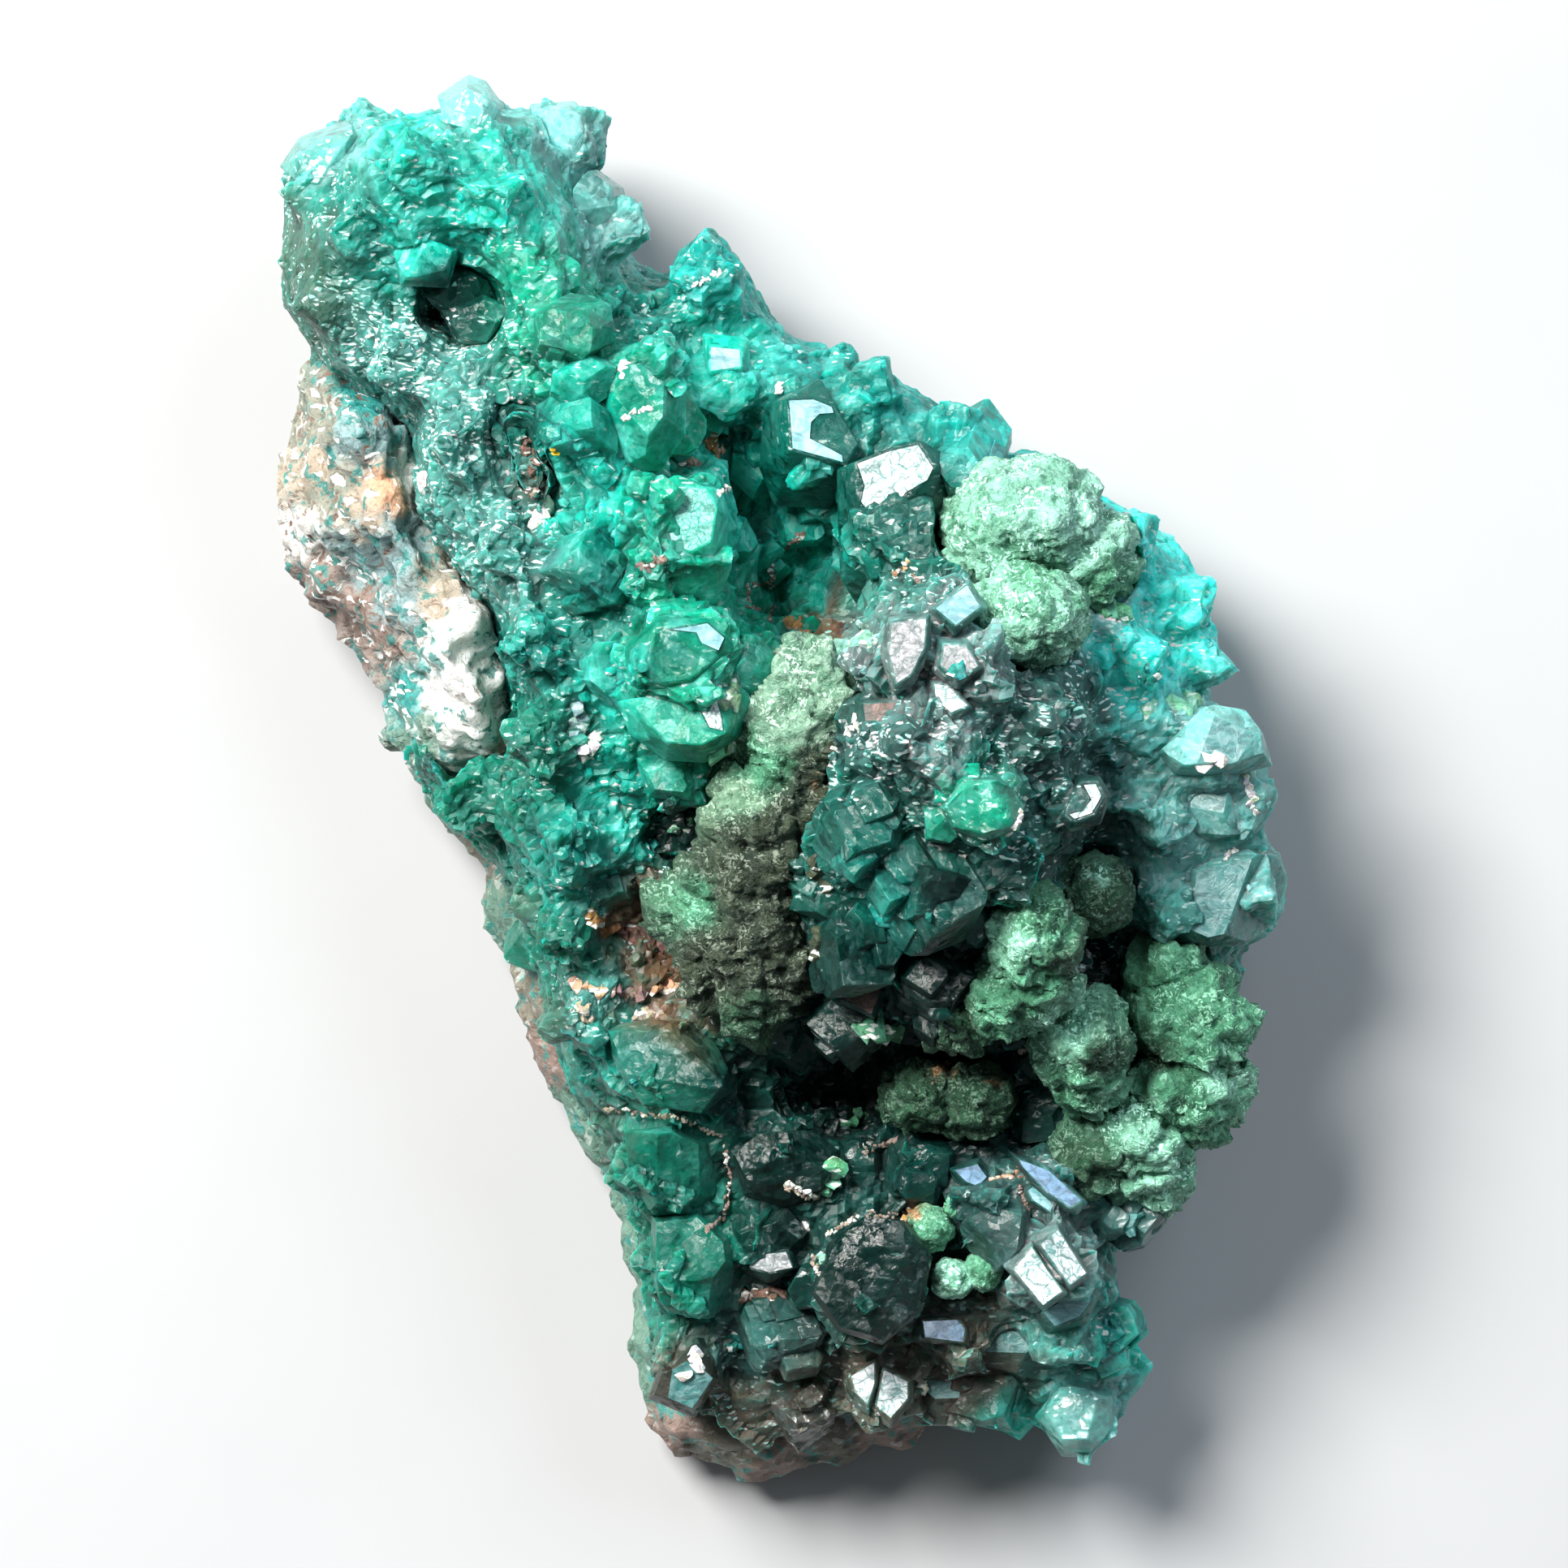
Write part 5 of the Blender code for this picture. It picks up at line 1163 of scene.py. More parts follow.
def faceMaterial(name, row):
    mainTone, otherTone, scale, rough, bump = row
    made, tree, shader = newMaterial("face " + name)
    where = millimetres(tree)
    bent = bentPlaces(tree, where, 1.2, 0.6)
    cracks = cellsOf(tree, bent, scale, "DISTANCE_TO_EDGE")
    streaks = noiseOf(tree, bent, 1.6 * scale, 5.0, 0.7, 1.2)
    share = spread(tree, streaks, 0.46, 0.62)
    base = blend(tree, "MIX", share, mainTone, otherTone)
    base = blend(tree, "MIX", spread(tree, cracks, 0.07, 0.0), base, otherTone)
    lines = sliverCells(tree, bent, 0.8, 6.0, 62).outputs[0]
    base = blend(tree, "MULTIPLY", spread(tree, lines, 0.6, 0.9, 0.0, 0.5), base, otherTone)
    tree.links.new(base, shader.inputs["Base Color"])
    tree.links.new(spread(tree, streaks, 0.3, 0.7, rough, rough + 0.3), shader.inputs["Roughness"])
    facets, _ = facetsOf(tree, where, 1.4 * scale)
    normal = bumpOf(tree, streaks, bump)
    normal = bumpOf(tree, facets, 2.0 * bump, normal)
    tree.links.new(normal, shader.inputs["Normal"])
    shader.inputs["IOR"].default_value = 1.65
    shader.inputs["Specular IOR Level"].default_value = 0.6
    return made


faceMaterials = {name: faceMaterial(name, row) for name, row in faceFinishes.items()}


def surfaceOf(node):
    item = frame["nodes"][node]
    mesh = item.data
    tree = BVHTree.FromPolygons([vert.co for vert in mesh.vertices],
        [poly.vertices for poly in mesh.polygons])

    def heightAt(spot):
        hit = tree.ray_cast(Vector((spot[0] * mm, spot[1] * mm, 0.1)), Vector((0.0, 0.0, -1.0)))
        return hit[0].z / mm

    return heightAt


crustHeight = surfaceOf("dioptase")
finishOrder = ["crystal"] + list(faceMaterials)
wholeBatch = [(work, shade, 0, None) for work, shade in wholeWorks(wholeCrystals, 31)]
facedBatch, plateBatch = facedWorks(facedCrystals, crustHeight)
wholeBatch += [(work, shade, finishOrder.index(finish), up) for work, shade, finish,
    up in facedBatch if finish != "clear"]
clearBatch = [(work, shade, 0, None) for work, shade in wholeWorks(clearCrystals, 32)]
clearBatch += [(work, shade, 0, None) for work, shade, finish, up in facedBatch if finish == "clear"]
wholePlanes = [planesOf(work) for work, *_ in wholeBatch]
clearPlanes = [planesOf(work) for work, *_ in clearBatch]
for corners, finish in plateBatch:
    # a thin plate lies just proud of the face, with its rim sunk into the crystal
    work = bmesh.new()
    face = work.faces.new([work.verts.new((corner + Vector((0.0, 0.0, 0.04))) * mm) for corner in corners])
    face.normal_update()
    if face.normal.z < 0:
        face.normal_flip()
    up = face.normal.copy()
    grown = bmesh.ops.extrude_face_region(work, geom=[face])
    lowered = [item for item in grown["geom"] if isinstance(item, bmesh.types.BMVert)]
    bmesh.ops.translate(work, vec=Vector((0.0, 0.0, -0.25 * mm)),
        verts=[vert for vert in work.verts if vert not in lowered])
    bmesh.ops.recalc_face_normals(work, faces=work.faces)
    wholeBatch.append((work, 1.0, finishOrder.index(finish), up))
for work, *_ in wholeBatch + clearBatch:
    bevelled(work)
crystals = joinWorks("dioptase_whole_crystals", wholeBatch,
    [dioptaseFinishes["crystal"]] + list(faceMaterials.values()))
glassy = joinWorks("dioptase_clear_crystals", clearBatch, [dioptaseFinishes["clear"]])
print("whole crystals", len(crystals.data.polygons) + len(glassy.data.polygons))


# the crystal mass, under all grains and whole crystals

massSize = {
    "voxel": 0.28, "smoothing": 4, "shrink": 0.12, "blocks": 0.75, "blockSize": 2.2, "chips": 0.42,
    "chipSize": 0.95,
    "grit": 0.07, "gritSize": 0.4,
}

mass = remeshed(nodeCopy("dioptase", "dioptase_mass"), massSize["voxel"], massSize["smoothing"])
massPoints = readPoints(mass.data)
massNormals = readNormals(mass.data)
grit = fractalAt(massPoints, massSize["gritSize"], 3, 7.0)
onCrystal = insideShare(massPoints, wholePlanes, 0.5)
onClear = insideShare(massPoints, clearPlanes, 0.5)
broken = massSize["blocks"] * planesAt(massPoints, massSize["blockSize"])
broken += massSize["chips"] * planesAt(massPoints, massSize["chipSize"])
broken *= zoneShare(massPoints, 7) * np.clip(massNormals[:, 2] + 0.5, 0.45, 1.0)
rise = broken + massSize["grit"] * grit - massSize["shrink"]
rise = np.where(np.maximum(onCrystal, onClear) > 0.6, -0.2, rise)
massPoints = massPoints + massNormals * rise[:, None]
clefts = [
    # x, y, reach along x and y, depth under the rim, tilt of the floor
    (-10.5, 13.4, 1.7, 3.0, 1.3, 0.1), (-4.4, -2.2, 2.4, 1.8, 2.4, 0.2),
]
for x, y, reachX, reachY, depth, slant in clefts:
    away = np.hypot((massPoints[:, 0] - x) / reachX,
        (massPoints[:, 1] - y) / reachY) + 0.5 * planesAt(massPoints, 2.0)
    rim = np.percentile(massPoints[(away > 1.0) & (away < 1.4) & (massNormals[:, 2] > 0.3), 2], 60)
    floor = rim - depth + slant * (massPoints[:, 0] - x) + 0.9 * planesAt(massPoints, 1.3)
    within = (away < 1.1) & (massNormals[:, 2] > -0.3) & (massPoints[:, 2] > 2.0)
    massPoints[:, 2] = np.where(within, np.maximum(massPoints[:, 2], floor), massPoints[:, 2])
massPoints[:, 2] = np.maximum(massPoints[:, 2], 0.6)
writePoints(mass.data, massPoints)
writeColour(mass.data, "tint", toneAt(wandered(massPoints, 0.9), toneSpots))
# painted shade: the shade is lighter on the high points of the broken relief and darker in its low points
writeValue(mass.data, "shade", np.clip(1.0 + 0.9 * broken, 0.6, 1.35))
# painted glints, more on faces turned up to the lights
writeValue(mass.data, "painted_glint_share", zoneShare(massPoints, 6) * np.clip(massNormals[:, 2] + 0.5, 0.15, 1.0))
mass.data.materials.append(dioptaseFinishes["mass"])
print("crystal mass", len(mass.data.polygons))


# grains grow on the mass by Geometry Nodes

grainKinds = {
    "dioptase_coarse_grains": {"spacing": 1.5, "small": 1.4, "large": 2.8, "tilt": 0.9, "sink": 0.75,
        "seed": 3},
    "dioptase_medium_grains": {"spacing": 0.9, "small": 0.7, "large": 1.4, "tilt": 1.1, "sink": 0.34,
        "seed": 8},
    "dioptase_fine_grains": {"spacing": 0.42, "small": 0.26, "large": 0.6, "tilt": 1.3, "sink": 0.09,
        "seed": 11},
}


def grainTree():
    tree = bpy.data.node_groups.new("grains on a surface", "GeometryNodeTree")
    sockets = {"Geometry": "NodeSocketGeometry", "Grains": "NodeSocketCollection",
        "Spacing": "NodeSocketFloat",
               "Share": "NodeSocketFloat", "Smallest": "NodeSocketFloat", "Largest": "NodeSocketFloat",
               "Tilt": "NodeSocketFloat", "Sink": "NodeSocketFloat", "Seed": "NodeSocketInt",
               "Finish": "NodeSocketMaterial"}
    for title, kind in sockets.items():
        tree.interface.new_socket(title, in_out="INPUT", socket_type=kind)
    tree.interface.new_socket("Geometry", in_out="OUTPUT", socket_type="NodeSocketGeometry")
    given = addNode(tree, "NodeGroupInput").outputs
    density = addNode(tree, "GeometryNodeInputNamedAttribute", {"Name": "grainShare"},
        data_type="FLOAT").outputs[0]
    spots = addNode(tree, "GeometryNodeDistributePointsOnFaces", {
        "Mesh": given["Geometry"], "Distance Min": given["Spacing"], "Density Max": 6.0e7,
        "Density Factor": density, "Seed": given["Seed"],
    }, distribute_method="POISSON")
    lower = addNode(tree, "ShaderNodeMath", {0: given["Sink"], 1: -1.0}, operation="MULTIPLY").outputs[0]
    away = addNode(tree, "ShaderNodeVectorMath", {0: spots.outputs["Normal"], "Scale": lower},
        operation="SCALE").outputs[0]
    sunk = addNode(tree, "GeometryNodeSetPosition",
        {"Geometry": spots.outputs["Points"], "Offset": away}).outputs[0]
    back = addNode(tree, "ShaderNodeMath", {0: given["Tilt"], 1: -1.0}, operation="MULTIPLY").outputs[0]
    lowest = addNode(tree, "ShaderNodeCombineXYZ", {0: back, 1: back, 2: -math.pi}).outputs[0]
    highest = addNode(tree, "ShaderNodeCombineXYZ",
        {0: given["Tilt"], 1: given["Tilt"], 2: math.pi}).outputs[0]
    turned = addNode(tree, "FunctionNodeRandomValue", {0: lowest, 1: highest, "Seed": given["Seed"]},
        data_type="FLOAT_VECTOR").outputs[0]
    pose = addNode(tree, "FunctionNodeRotateRotation", {
        "Rotation": spots.outputs["Rotation"], "Rotate By": turned,
    }, rotation_space="LOCAL").outputs[0]
    size = addNode(tree, "FunctionNodeRandomValue",
        {2: given["Smallest"], 3: given["Largest"], "Seed": given["Seed"]}, data_type="FLOAT").outputs[1]
    kinds = addNode(tree, "GeometryNodeCollectionInfo",
        {"Collection": given["Grains"], "Separate Children": True, "Reset Children": True}).outputs[0]
    put = addNode(tree, "GeometryNodeInstanceOnPoints", {
        "Points": sunk, "Instance": kinds, "Pick Instance": True, "Rotation": pose, "Scale": size,
    }).outputs[0]
    shade = addNode(tree, "FunctionNodeRandomValue", {2: 0.85, 3: 1.2, "Seed": given["Seed"]},
        data_type="FLOAT").outputs[1]
    marked = addNode(tree, "GeometryNodeStoreNamedAttribute",
        {"Geometry": put, "Name": "shade", "Value": shade}, data_type="FLOAT", domain="INSTANCE").outputs[0]
    real = addNode(tree, "GeometryNodeRealizeInstances", {"Geometry": marked}).outputs[0]
    done = addNode(tree, "GeometryNodeSetMaterial",
        {"Geometry": real, "Material": given["Finish"]}).outputs[0]
    addNode(tree, "NodeGroupOutput", {"Geometry": done})
    return tree


def setInput(step, title, value):
    for socket in step.node_group.interface.items_tree:
        if socket.item_type == "SOCKET" and socket.in_out == "INPUT" and socket.name == title:
            step[socket.identifier] = value


def variantCollection(name, works):
    holder = bpy.data.collections.new(name)
    bpy.context.scene.collection.children.link(holder)
    for i, work in enumerate(works):
        mesh = bpy.data.meshes.new(f"{name} {i}")
        work.to_mesh(mesh)
        work.free()
        holder.objects.link(bpy.data.objects.new(f"{name} {i}", mesh))
    return holder


def dropCollection(holder):
    for item in list(holder.objects):
        bpy.data.objects.remove(item)
    bpy.data.collections.remove(holder)


grainChance = random.Random(21)
variants = [crystalWork(1.0, 1.1, grainChance, 0.2, 3) for _ in range(2)]
for variant in variants:
    bmesh.ops.scale(variant, vec=(0.9 / mm, 0.9 / mm, 0.7 / mm), verts=variant.verts)
variants += [grainWork(grainChance, 16) for _ in range(5)]
grainShapes = variantCollection("grain shapes", variants)
growth = grainTree()
covered = np.maximum(onCrystal, onClear) > 0.35
grainPieces = []
for column, (name, sizes) in enumerate(grainKinds.items()):
    share = zoneShare(massPoints, 3 + column)
    share = np.where(covered, 0.12 * share if column == 2 else 0.0, share)
    share = np.where((massNormals[:, 2] < -0.35) | (massPoints[:, 2] < 1.4), 0.0, share)
    sideways = np.clip(1.0 - massNormals[:, 2], 0.0, 1.0)
    share = share * np.where(sideways > 0.7, 0.4, 1.0)
    grown = linkMesh(name, mass.data.copy())
    writeValue(grown.data, "grainShare", np.clip(share, 0.0, 1.0))
    step = grown.modifiers.new("grains", "NODES")
    step.node_group = growth
    for title, value in {
        "Grains": grainShapes, "Spacing": sizes["spacing"] * mm, "Smallest": sizes["small"] * mm,
        "Largest": sizes["large"] * mm, "Tilt": sizes["tilt"], "Sink": sizes["sink"] * mm,
        "Seed": sizes["seed"], "Finish": dioptaseFinishes["grain"],
    }.items():
        setInput(step, title, value)
    settle(grown)
    grainPieces.append(grown)
    print(name, len(grown.data.polygons))
dropCollection(grainShapes)

for piece in [mass, crystals, glassy] + grainPieces:
    finishPiece(piece, "dioptase")


# host rock: pale and brown, with folds and teal specks

rockSize = {"voxel": 0.28, "smoothing": 3, "folds": 0.45, "foldSize": 2.6, "chips": 0.45, "chipSize": 1.1}


def hostRockMaterial():
    made, tree, shader = newMaterial("host rock")
    where = millimetres(tree)
    bent = bentPlaces(tree, where, 0.8, 1.5)
    tint = attributeOf(tree, "tint", "Color")
    rough = addNode(tree, "ShaderNodeMath", {0: 1.0, 1: attributeOf(tree, "glassy")},
        operation="SUBTRACT").outputs[0]
    patches = noiseOf(tree, bent, 1.1, 5.0, 0.65, 0.8)
    white = added(tree, spread(tree, patches, 0.60, 0.68), rough, "MULTIPLY")
    base = blend(tree, "MIX", white, tint, (0.74, 0.75, 0.70))
    stains = noiseOf(tree, bent, 0.8, 5.0, 0.6, 1.6)
    base = blend(tree, "MIX", added(tree, spread(tree, stains, 0.42, 0.36), rough, "MULTIPLY"), base,
        (0.20, 0.13, 0.10))
    spots = noiseOf(tree, where, 1.3, 4.0, 0.6, 0.4)
    base = blend(tree, "MIX", spread(tree, spots, 0.56, 0.61, 0.0, 0.85), base, (0.02, 0.23, 0.21))
    # painted shade: where the grain noise, also used for the bump, is low, the colour is darker
    grain = noiseOf(tree, where, 5.0, 4.0, 0.7)
    dark = added(tree, spread(tree, grain, 0.45, 0.36, 0.0, 0.6), rough, "MULTIPLY")
    base = blend(tree, "MULTIPLY", dark, base, (0.32, 0.26, 0.24))
    # painted glints: thin slivers turned nearly white
    slivers = sliverCells(tree, bent, 1.6, 4.5, 60)
    glints = added(tree, spread(tree, slivers.outputs[0], 0.9, 0.94), added(tree, rough, 0.25, "MAXIMUM"),
        "MULTIPLY")
    base = blend(tree, "MIX", glints, base, (0.86, 0.88, 0.86))
    tree.links.new(base, shader.inputs["Base Color"])
    tree.links.new(spread(tree, grain, 0.3, 0.7, 0.3, 0.7), shader.inputs["Roughness"])
    facets, _ = facetsOf(tree, bent, 1.6)
    normal = bumpOf(tree, grain, 0.08)
    normal = bumpOf(tree, patches, 0.25, normal)
    normal = bumpOf(tree, facets, 0.35, normal)
    tree.links.new(normal, shader.inputs["Normal"])
    shader.inputs["Subsurface Weight"].default_value = 0.5
    shader.inputs["Subsurface Radius"].default_value = (1.0, 0.9, 0.8)
    shader.inputs["Subsurface Scale"].default_value = 0.8 * mm
    return made


rock = remeshed(nodeCopy("host_rock", "host_rock_surface"), rockSize["voxel"], rockSize["smoothing"])
rockPoints = readPoints(rock.data)
rockNormals = readNormals(rock.data)
folds = fractalAt(rockPoints, rockSize["foldSize"], 4, 2.0)
# the lower edge is clear and smooth, the band above it is broken rock
glassy = np.clip((1.0 - rockPoints[:, 1] - 0.3 * (rockPoints[:, 0] + 13.0)) / 2.0, 0.0, 1.0)
whitePart = np.clip(1.6 - np.hypot(rockPoints[:, 0] + 12.4, 0.6 * (rockPoints[:, 1] - 3.6)) / 1.6, 0.0, 1.0)
chips = planesAt(rockPoints, rockSize["chipSize"]) * (1.0 - 0.4 * glassy) * (1.0 - 0.3 * whitePart)
flatBase = np.clip(rockPoints[:, 2] / 0.8, 0.0, 1.0)
rise = (rockSize["folds"] * folds * (1.0 - 0.4 * glassy) + rockSize["chips"] * chips + 0.12) * flatBase
rockPoints = rockPoints + rockNormals * rise[:, None]
writePoints(rock.data, rockPoints)
writeColour(rock.data, "tint", toneAt(wandered(rockPoints, 0.8), rockSpots))
writeValue(rock.data, "glassy", np.maximum(glassy, 0.35 * whitePart))
rock.data.shade_smooth()
rock.data.materials.append(hostRockMaterial())
finishPiece(rock, "host_rock")
print("host rock", len(rock.data.polygons))


# oxide specks, crusts and thin veins that lie on the crystals: x, y, width, length, direction, tone

smallCrusts = {
    "host_rock": [
        (-2.9, 13.5, 0.7, 1.1, 80, "rust"), (-2.6, 13.0, 0.5, 0.7, 40, "peach"),
        (-3.7, 12.5, 0.4, 1.0, 10, "rose"),
        (-9.7, 12.4, 0.4, 1.3, 80, "redBrown"), (-9.6, 11.4, 0.4, 1.0, 70, "rose"),
        (-10.0, 13.2, 0.4, 0.9, 100, "redBrown"),
        (0.4, 6.3, 0.7, 0.9, 30, "rust"), (0.9, 5.7, 0.7, 1.0, 130, "rust"),
        (1.7, 5.9, 0.7, 1.2, 10, "rust"),
        (-0.5, 8.2, 0.25, 1.1, 90, "rose"), (-0.9, 7.9, 0.2, 0.9, 10, "rose"),
        (-1.4, 7.5, 0.25, 0.9, 100, "rose"),
        (-1.2, 6.9, 0.22, 0.7, 170, "rose"), (-0.5, 6.7, 0.22, 0.8, 80, "rose"),
        (0.4, 9.6, 0.3, 1.1, 40, "rose"),
        (4.6, 8.4, 0.35, 0.9, 50, "peach"), (5.1, 7.9, 0.35, 0.7, 120, "rose"),
        (-5.1, 8.5, 0.4, 1.2, 20, "rose"),
        (-7.2, -5.4, 0.7, 1.6, 150, "rust"), (-6.0, -5.7, 0.8, 1.8, 175, "redBrown"),
        (-4.8, -6.2, 0.7, 1.5, 160, "redBrown"),
        (-7.6, -7.9, 0.6, 1.5, 160, "peach"), (-6.2, -8.2, 0.7, 1.7, 170, "rose"),
        (-4.6, -8.0, 0.6, 1.6, 10, "peach"),
        (-3.2, -8.7, 0.6, 1.4, 160, "rose"), (-5.4, -9.0, 0.5, 1.4, 5, "cream"),
        (-7.8, -8.9, 0.5, 1.1, 140, "cream"),
        (9.7, -10.4, 0.6, 0.9, 30, "peach"), (8.7, -15.4, 0.3, 1.4, 10, "peach"),
        (4.9, -16.8, 0.5, 1.0, 20, "rust"),
        (6.3, -11.1, 0.4, 0.5, 0, "rust"), (8.0, -11.7, 0.35, 0.4, 0, "rust"),
        (-8.9, 12.9, 0.35, 0.35, 0, "gold"),
        (-5.6, -12.9, 0.25, 3.0, 175, "cream"), (-3.2, -13.5, 0.25, 1.8, 155, "cream"),
        (-2.2, -14.9, 0.22, 1.6, 100, "rose"),
        (-2.3, -16.4, 0.25, 1.6, 85, "rose"), (-2.8, -17.3, 0.25, 1.0, 40, "rose"),
        (1.2, -18.7, 0.3, 1.3, 115, "cream"),
        (2.3, -17.3, 0.25, 1.6, 30, "cream"), (3.8, -16.9, 0.25, 1.3, 175, "rose"),
        (-0.8, -20.1, 0.5, 2.2, 178, "redBrown"),
        (0.7, -16.0, 0.3, 1.6, 155, "cream"), (3.8, -14.2, 0.25, 1.6, 20, "rose"),
        (9.4, -16.2, 0.25, 1.1, 110, "rose"),
    ],
    "dioptase": [
        (-9.5, 10.2, 0.8, 0.7, 30, "chalk"), (-14.0, 11.8, 0.7, 0.6, 20, "chalk"),
        (-13.7, 5.2, 0.8, 1.3, 20, "bright"),
        (-0.2, 15.5, 0.35, 0.6, 70, "chalk"), (-2.4, 11.4, 0.25, 0.7, 40, "chalk"),
        (-3.0, 19.8, 0.3, 1.5, 25, "chalk"),
        (-8.0, 2.4, 0.8, 1.6, 80, "greyBlue"), (-7.6, 1.4, 0.7, 1.2, 60, "chalk"),
        (2.7, 2.2, 0.4, 0.9, 60, "chalk"),
        (6.7, 4.4, 0.6, 0.8, 60, "cyan"), (16.6, 1.0, 0.7, 1.2, 20, "chalk"),
        (8.3, 12.1, 0.3, 1.5, 20, "chalk"),
        (7.3, 11.3, 0.3, 0.8, 80, "chalk"), (-6.2, 16.1, 0.4, 0.9, 60, "chalk"),
        (-5.7, 14.4, 0.3, 1.3, 20, "chalk"),
        (0.7, -15.9, 0.35, 1.5, 155, "chalk"), (-2.0, -22.0, 0.6, 0.9, 30, "cyan"),
        (-5.9, -11.6, 0.4, 0.5, 0, "cyan"),
        (0.9, -17.3, 0.4, 0.5, 0, "chalk"), (-3.6, -22.8, 0.7, 1.3, 70, "chalk"),
        (5.3, -23.6, 0.6, 0.9, 80, "chalk"),
        (18.2, -0.4, 0.4, 1.7, 110, "chalk"), (17.5, -2.7, 0.35, 0.9, 60, "chalk"),
        (12.8, -21.4, 0.6, 1.4, 70, "cyan"),
        (-5.3, -2.5, 0.6, 1.0, 30, "cyan"), (14.2, 4.2, 0.6, 1.0, 60, "cyan"),
        (8.8, -1.5, 0.3, 1.2, 60, "chalk"),
    ],
    "malachite": [
        (-2.2, 3.4, 0.9, 1.6, 60, "sage"), (2.5, 2.6, 0.8, 1.4, 80, "sage"),
        (-2.9, 0.8, 0.9, 1.4, 50, "moss"),
        (1.6, 1.2, 0.7, 1.2, 70, "loam"), (-4.0, -1.6, 0.6, 1.2, 20, "moss"),
        (1.4, -3.4, 0.8, 1.6, 100, "loam"),
        (-3.6, -7.4, 0.9, 1.6, 160, "loam"), (1.2, -6.2, 0.9, 1.6, 80, "loam"),
        (-2.9, -9.2, 0.8, 1.6, 170, "loam"),
        (14.2, 2.8, 0.8, 1.0, 20, "jade"), (15.6, 3.0, 1.3, 1.4, 50, "jade"),
        (2.6, 5.1, 1.2, 2.0, 10, "jade"),
        (1.6, 4.7, 1.0, 1.3, 100, "sage"), (3.5, 5.5, 0.5, 0.6, 0, "mint"),
        (17.5, -11.7, 1.0, 1.3, 110, "moss"),
        (6.5, -16.6, 0.35, 1.0, 110, "moss"), (1.5, -18.6, 0.35, 0.5, 90, "jade"),
        (2.8, -13.1, 0.6, 1.3, 10, "moss"),
        (3.7, -9.6, 1.2, 2.2, 170, "moss"), (1.9, -15.6, 1.0, 1.5, 60, "moss"),
        (13.2, -16.2, 0.8, 1.2, 10, "moss"),
        (14.7, -7.4, 1.0, 1.3, 60, "moss"), (-1.8, 1.8, 0.8, 1.6, 60, "sage"),
        (-2.0, -0.4, 0.8, 1.2, 20, "moss"),
        (-2.6, -2.3, 0.8, 1.4, 60, "sage"), (0.8, -1.0, 0.9, 1.6, 80, "loam"),
        (-3.6, -3.6, 1.0, 1.8, 10, "sage"),
        (-3.8, -6.2, 1.0, 2.0, 90, "loam"), (11.0, 6.2, 0.9, 1.2, 40, "moss"),
        (12.8, 6.6, 1.0, 1.4, 20, "moss"),
    ],
}


def crustMaterial(name, rough):
    made, tree, shader = newMaterial(name)
    where = millimetres(tree)
    patches = noiseOf(tree, where, 2.2, 5.0, 0.7, 0.8)
    tint = attributeOf(tree, "tint", "Color")
    # painted shade: where the patch noise, also used for the bump, is low, the colour is darker
    base = blend(tree, "MULTIPLY", spread(tree, patches, 0.55, 0.40, 0.0, 0.8), tint, (0.35, 0.38, 0.34))
    # painted glints: thin slivers turned nearly white
    slivers = sliverCells(tree, where, 2.2, 6.0, 35)
    base = blend(tree, "MIX", spread(tree, slivers.outputs[0], 0.84, 0.88, 0.0, 0.8), base,
        (0.85, 0.88, 0.84))
    tree.links.new(base, shader.inputs["Base Color"])
    tree.links.new(spread(tree, patches, 0.3, 0.7, rough, rough + 0.3), shader.inputs["Roughness"])
    facets, _ = facetsOf(tree, where, 2.6)
    normal = bumpOf(tree, patches, 0.12)
    tree.links.new(bumpOf(tree, facets, 0.5, normal), shader.inputs["Normal"])
    return made


crustFinish = {
    "host_rock": crustMaterial("oxide crust", 0.45), "dioptase": crustMaterial("pale crystal faces", 0.15),
    "malachite": crustMaterial("small malachite crust", 0.4),
}
visible = BVHTree.FromPolygons(
    [vert.co for vert in mass.data.vertices], [poly.vertices for poly in mass.data.polygons]
)
heroes = BVHTree.FromPolygons(
    [vert.co for vert in crystals.data.vertices], [poly.vertices for poly in crystals.data.polygons]
)


def topAt(x, y):
    # the highest point of the crystal mass and the whole crystals
    start = Vector((x * mm, y * mm, 0.1))
    hits = [tree.ray_cast(start, Vector((0.0, 0.0, -1.0)))[0] for tree in (visible, heroes)]
    return max((hit.z for hit in hits if hit), default=4.0 * mm) / mm


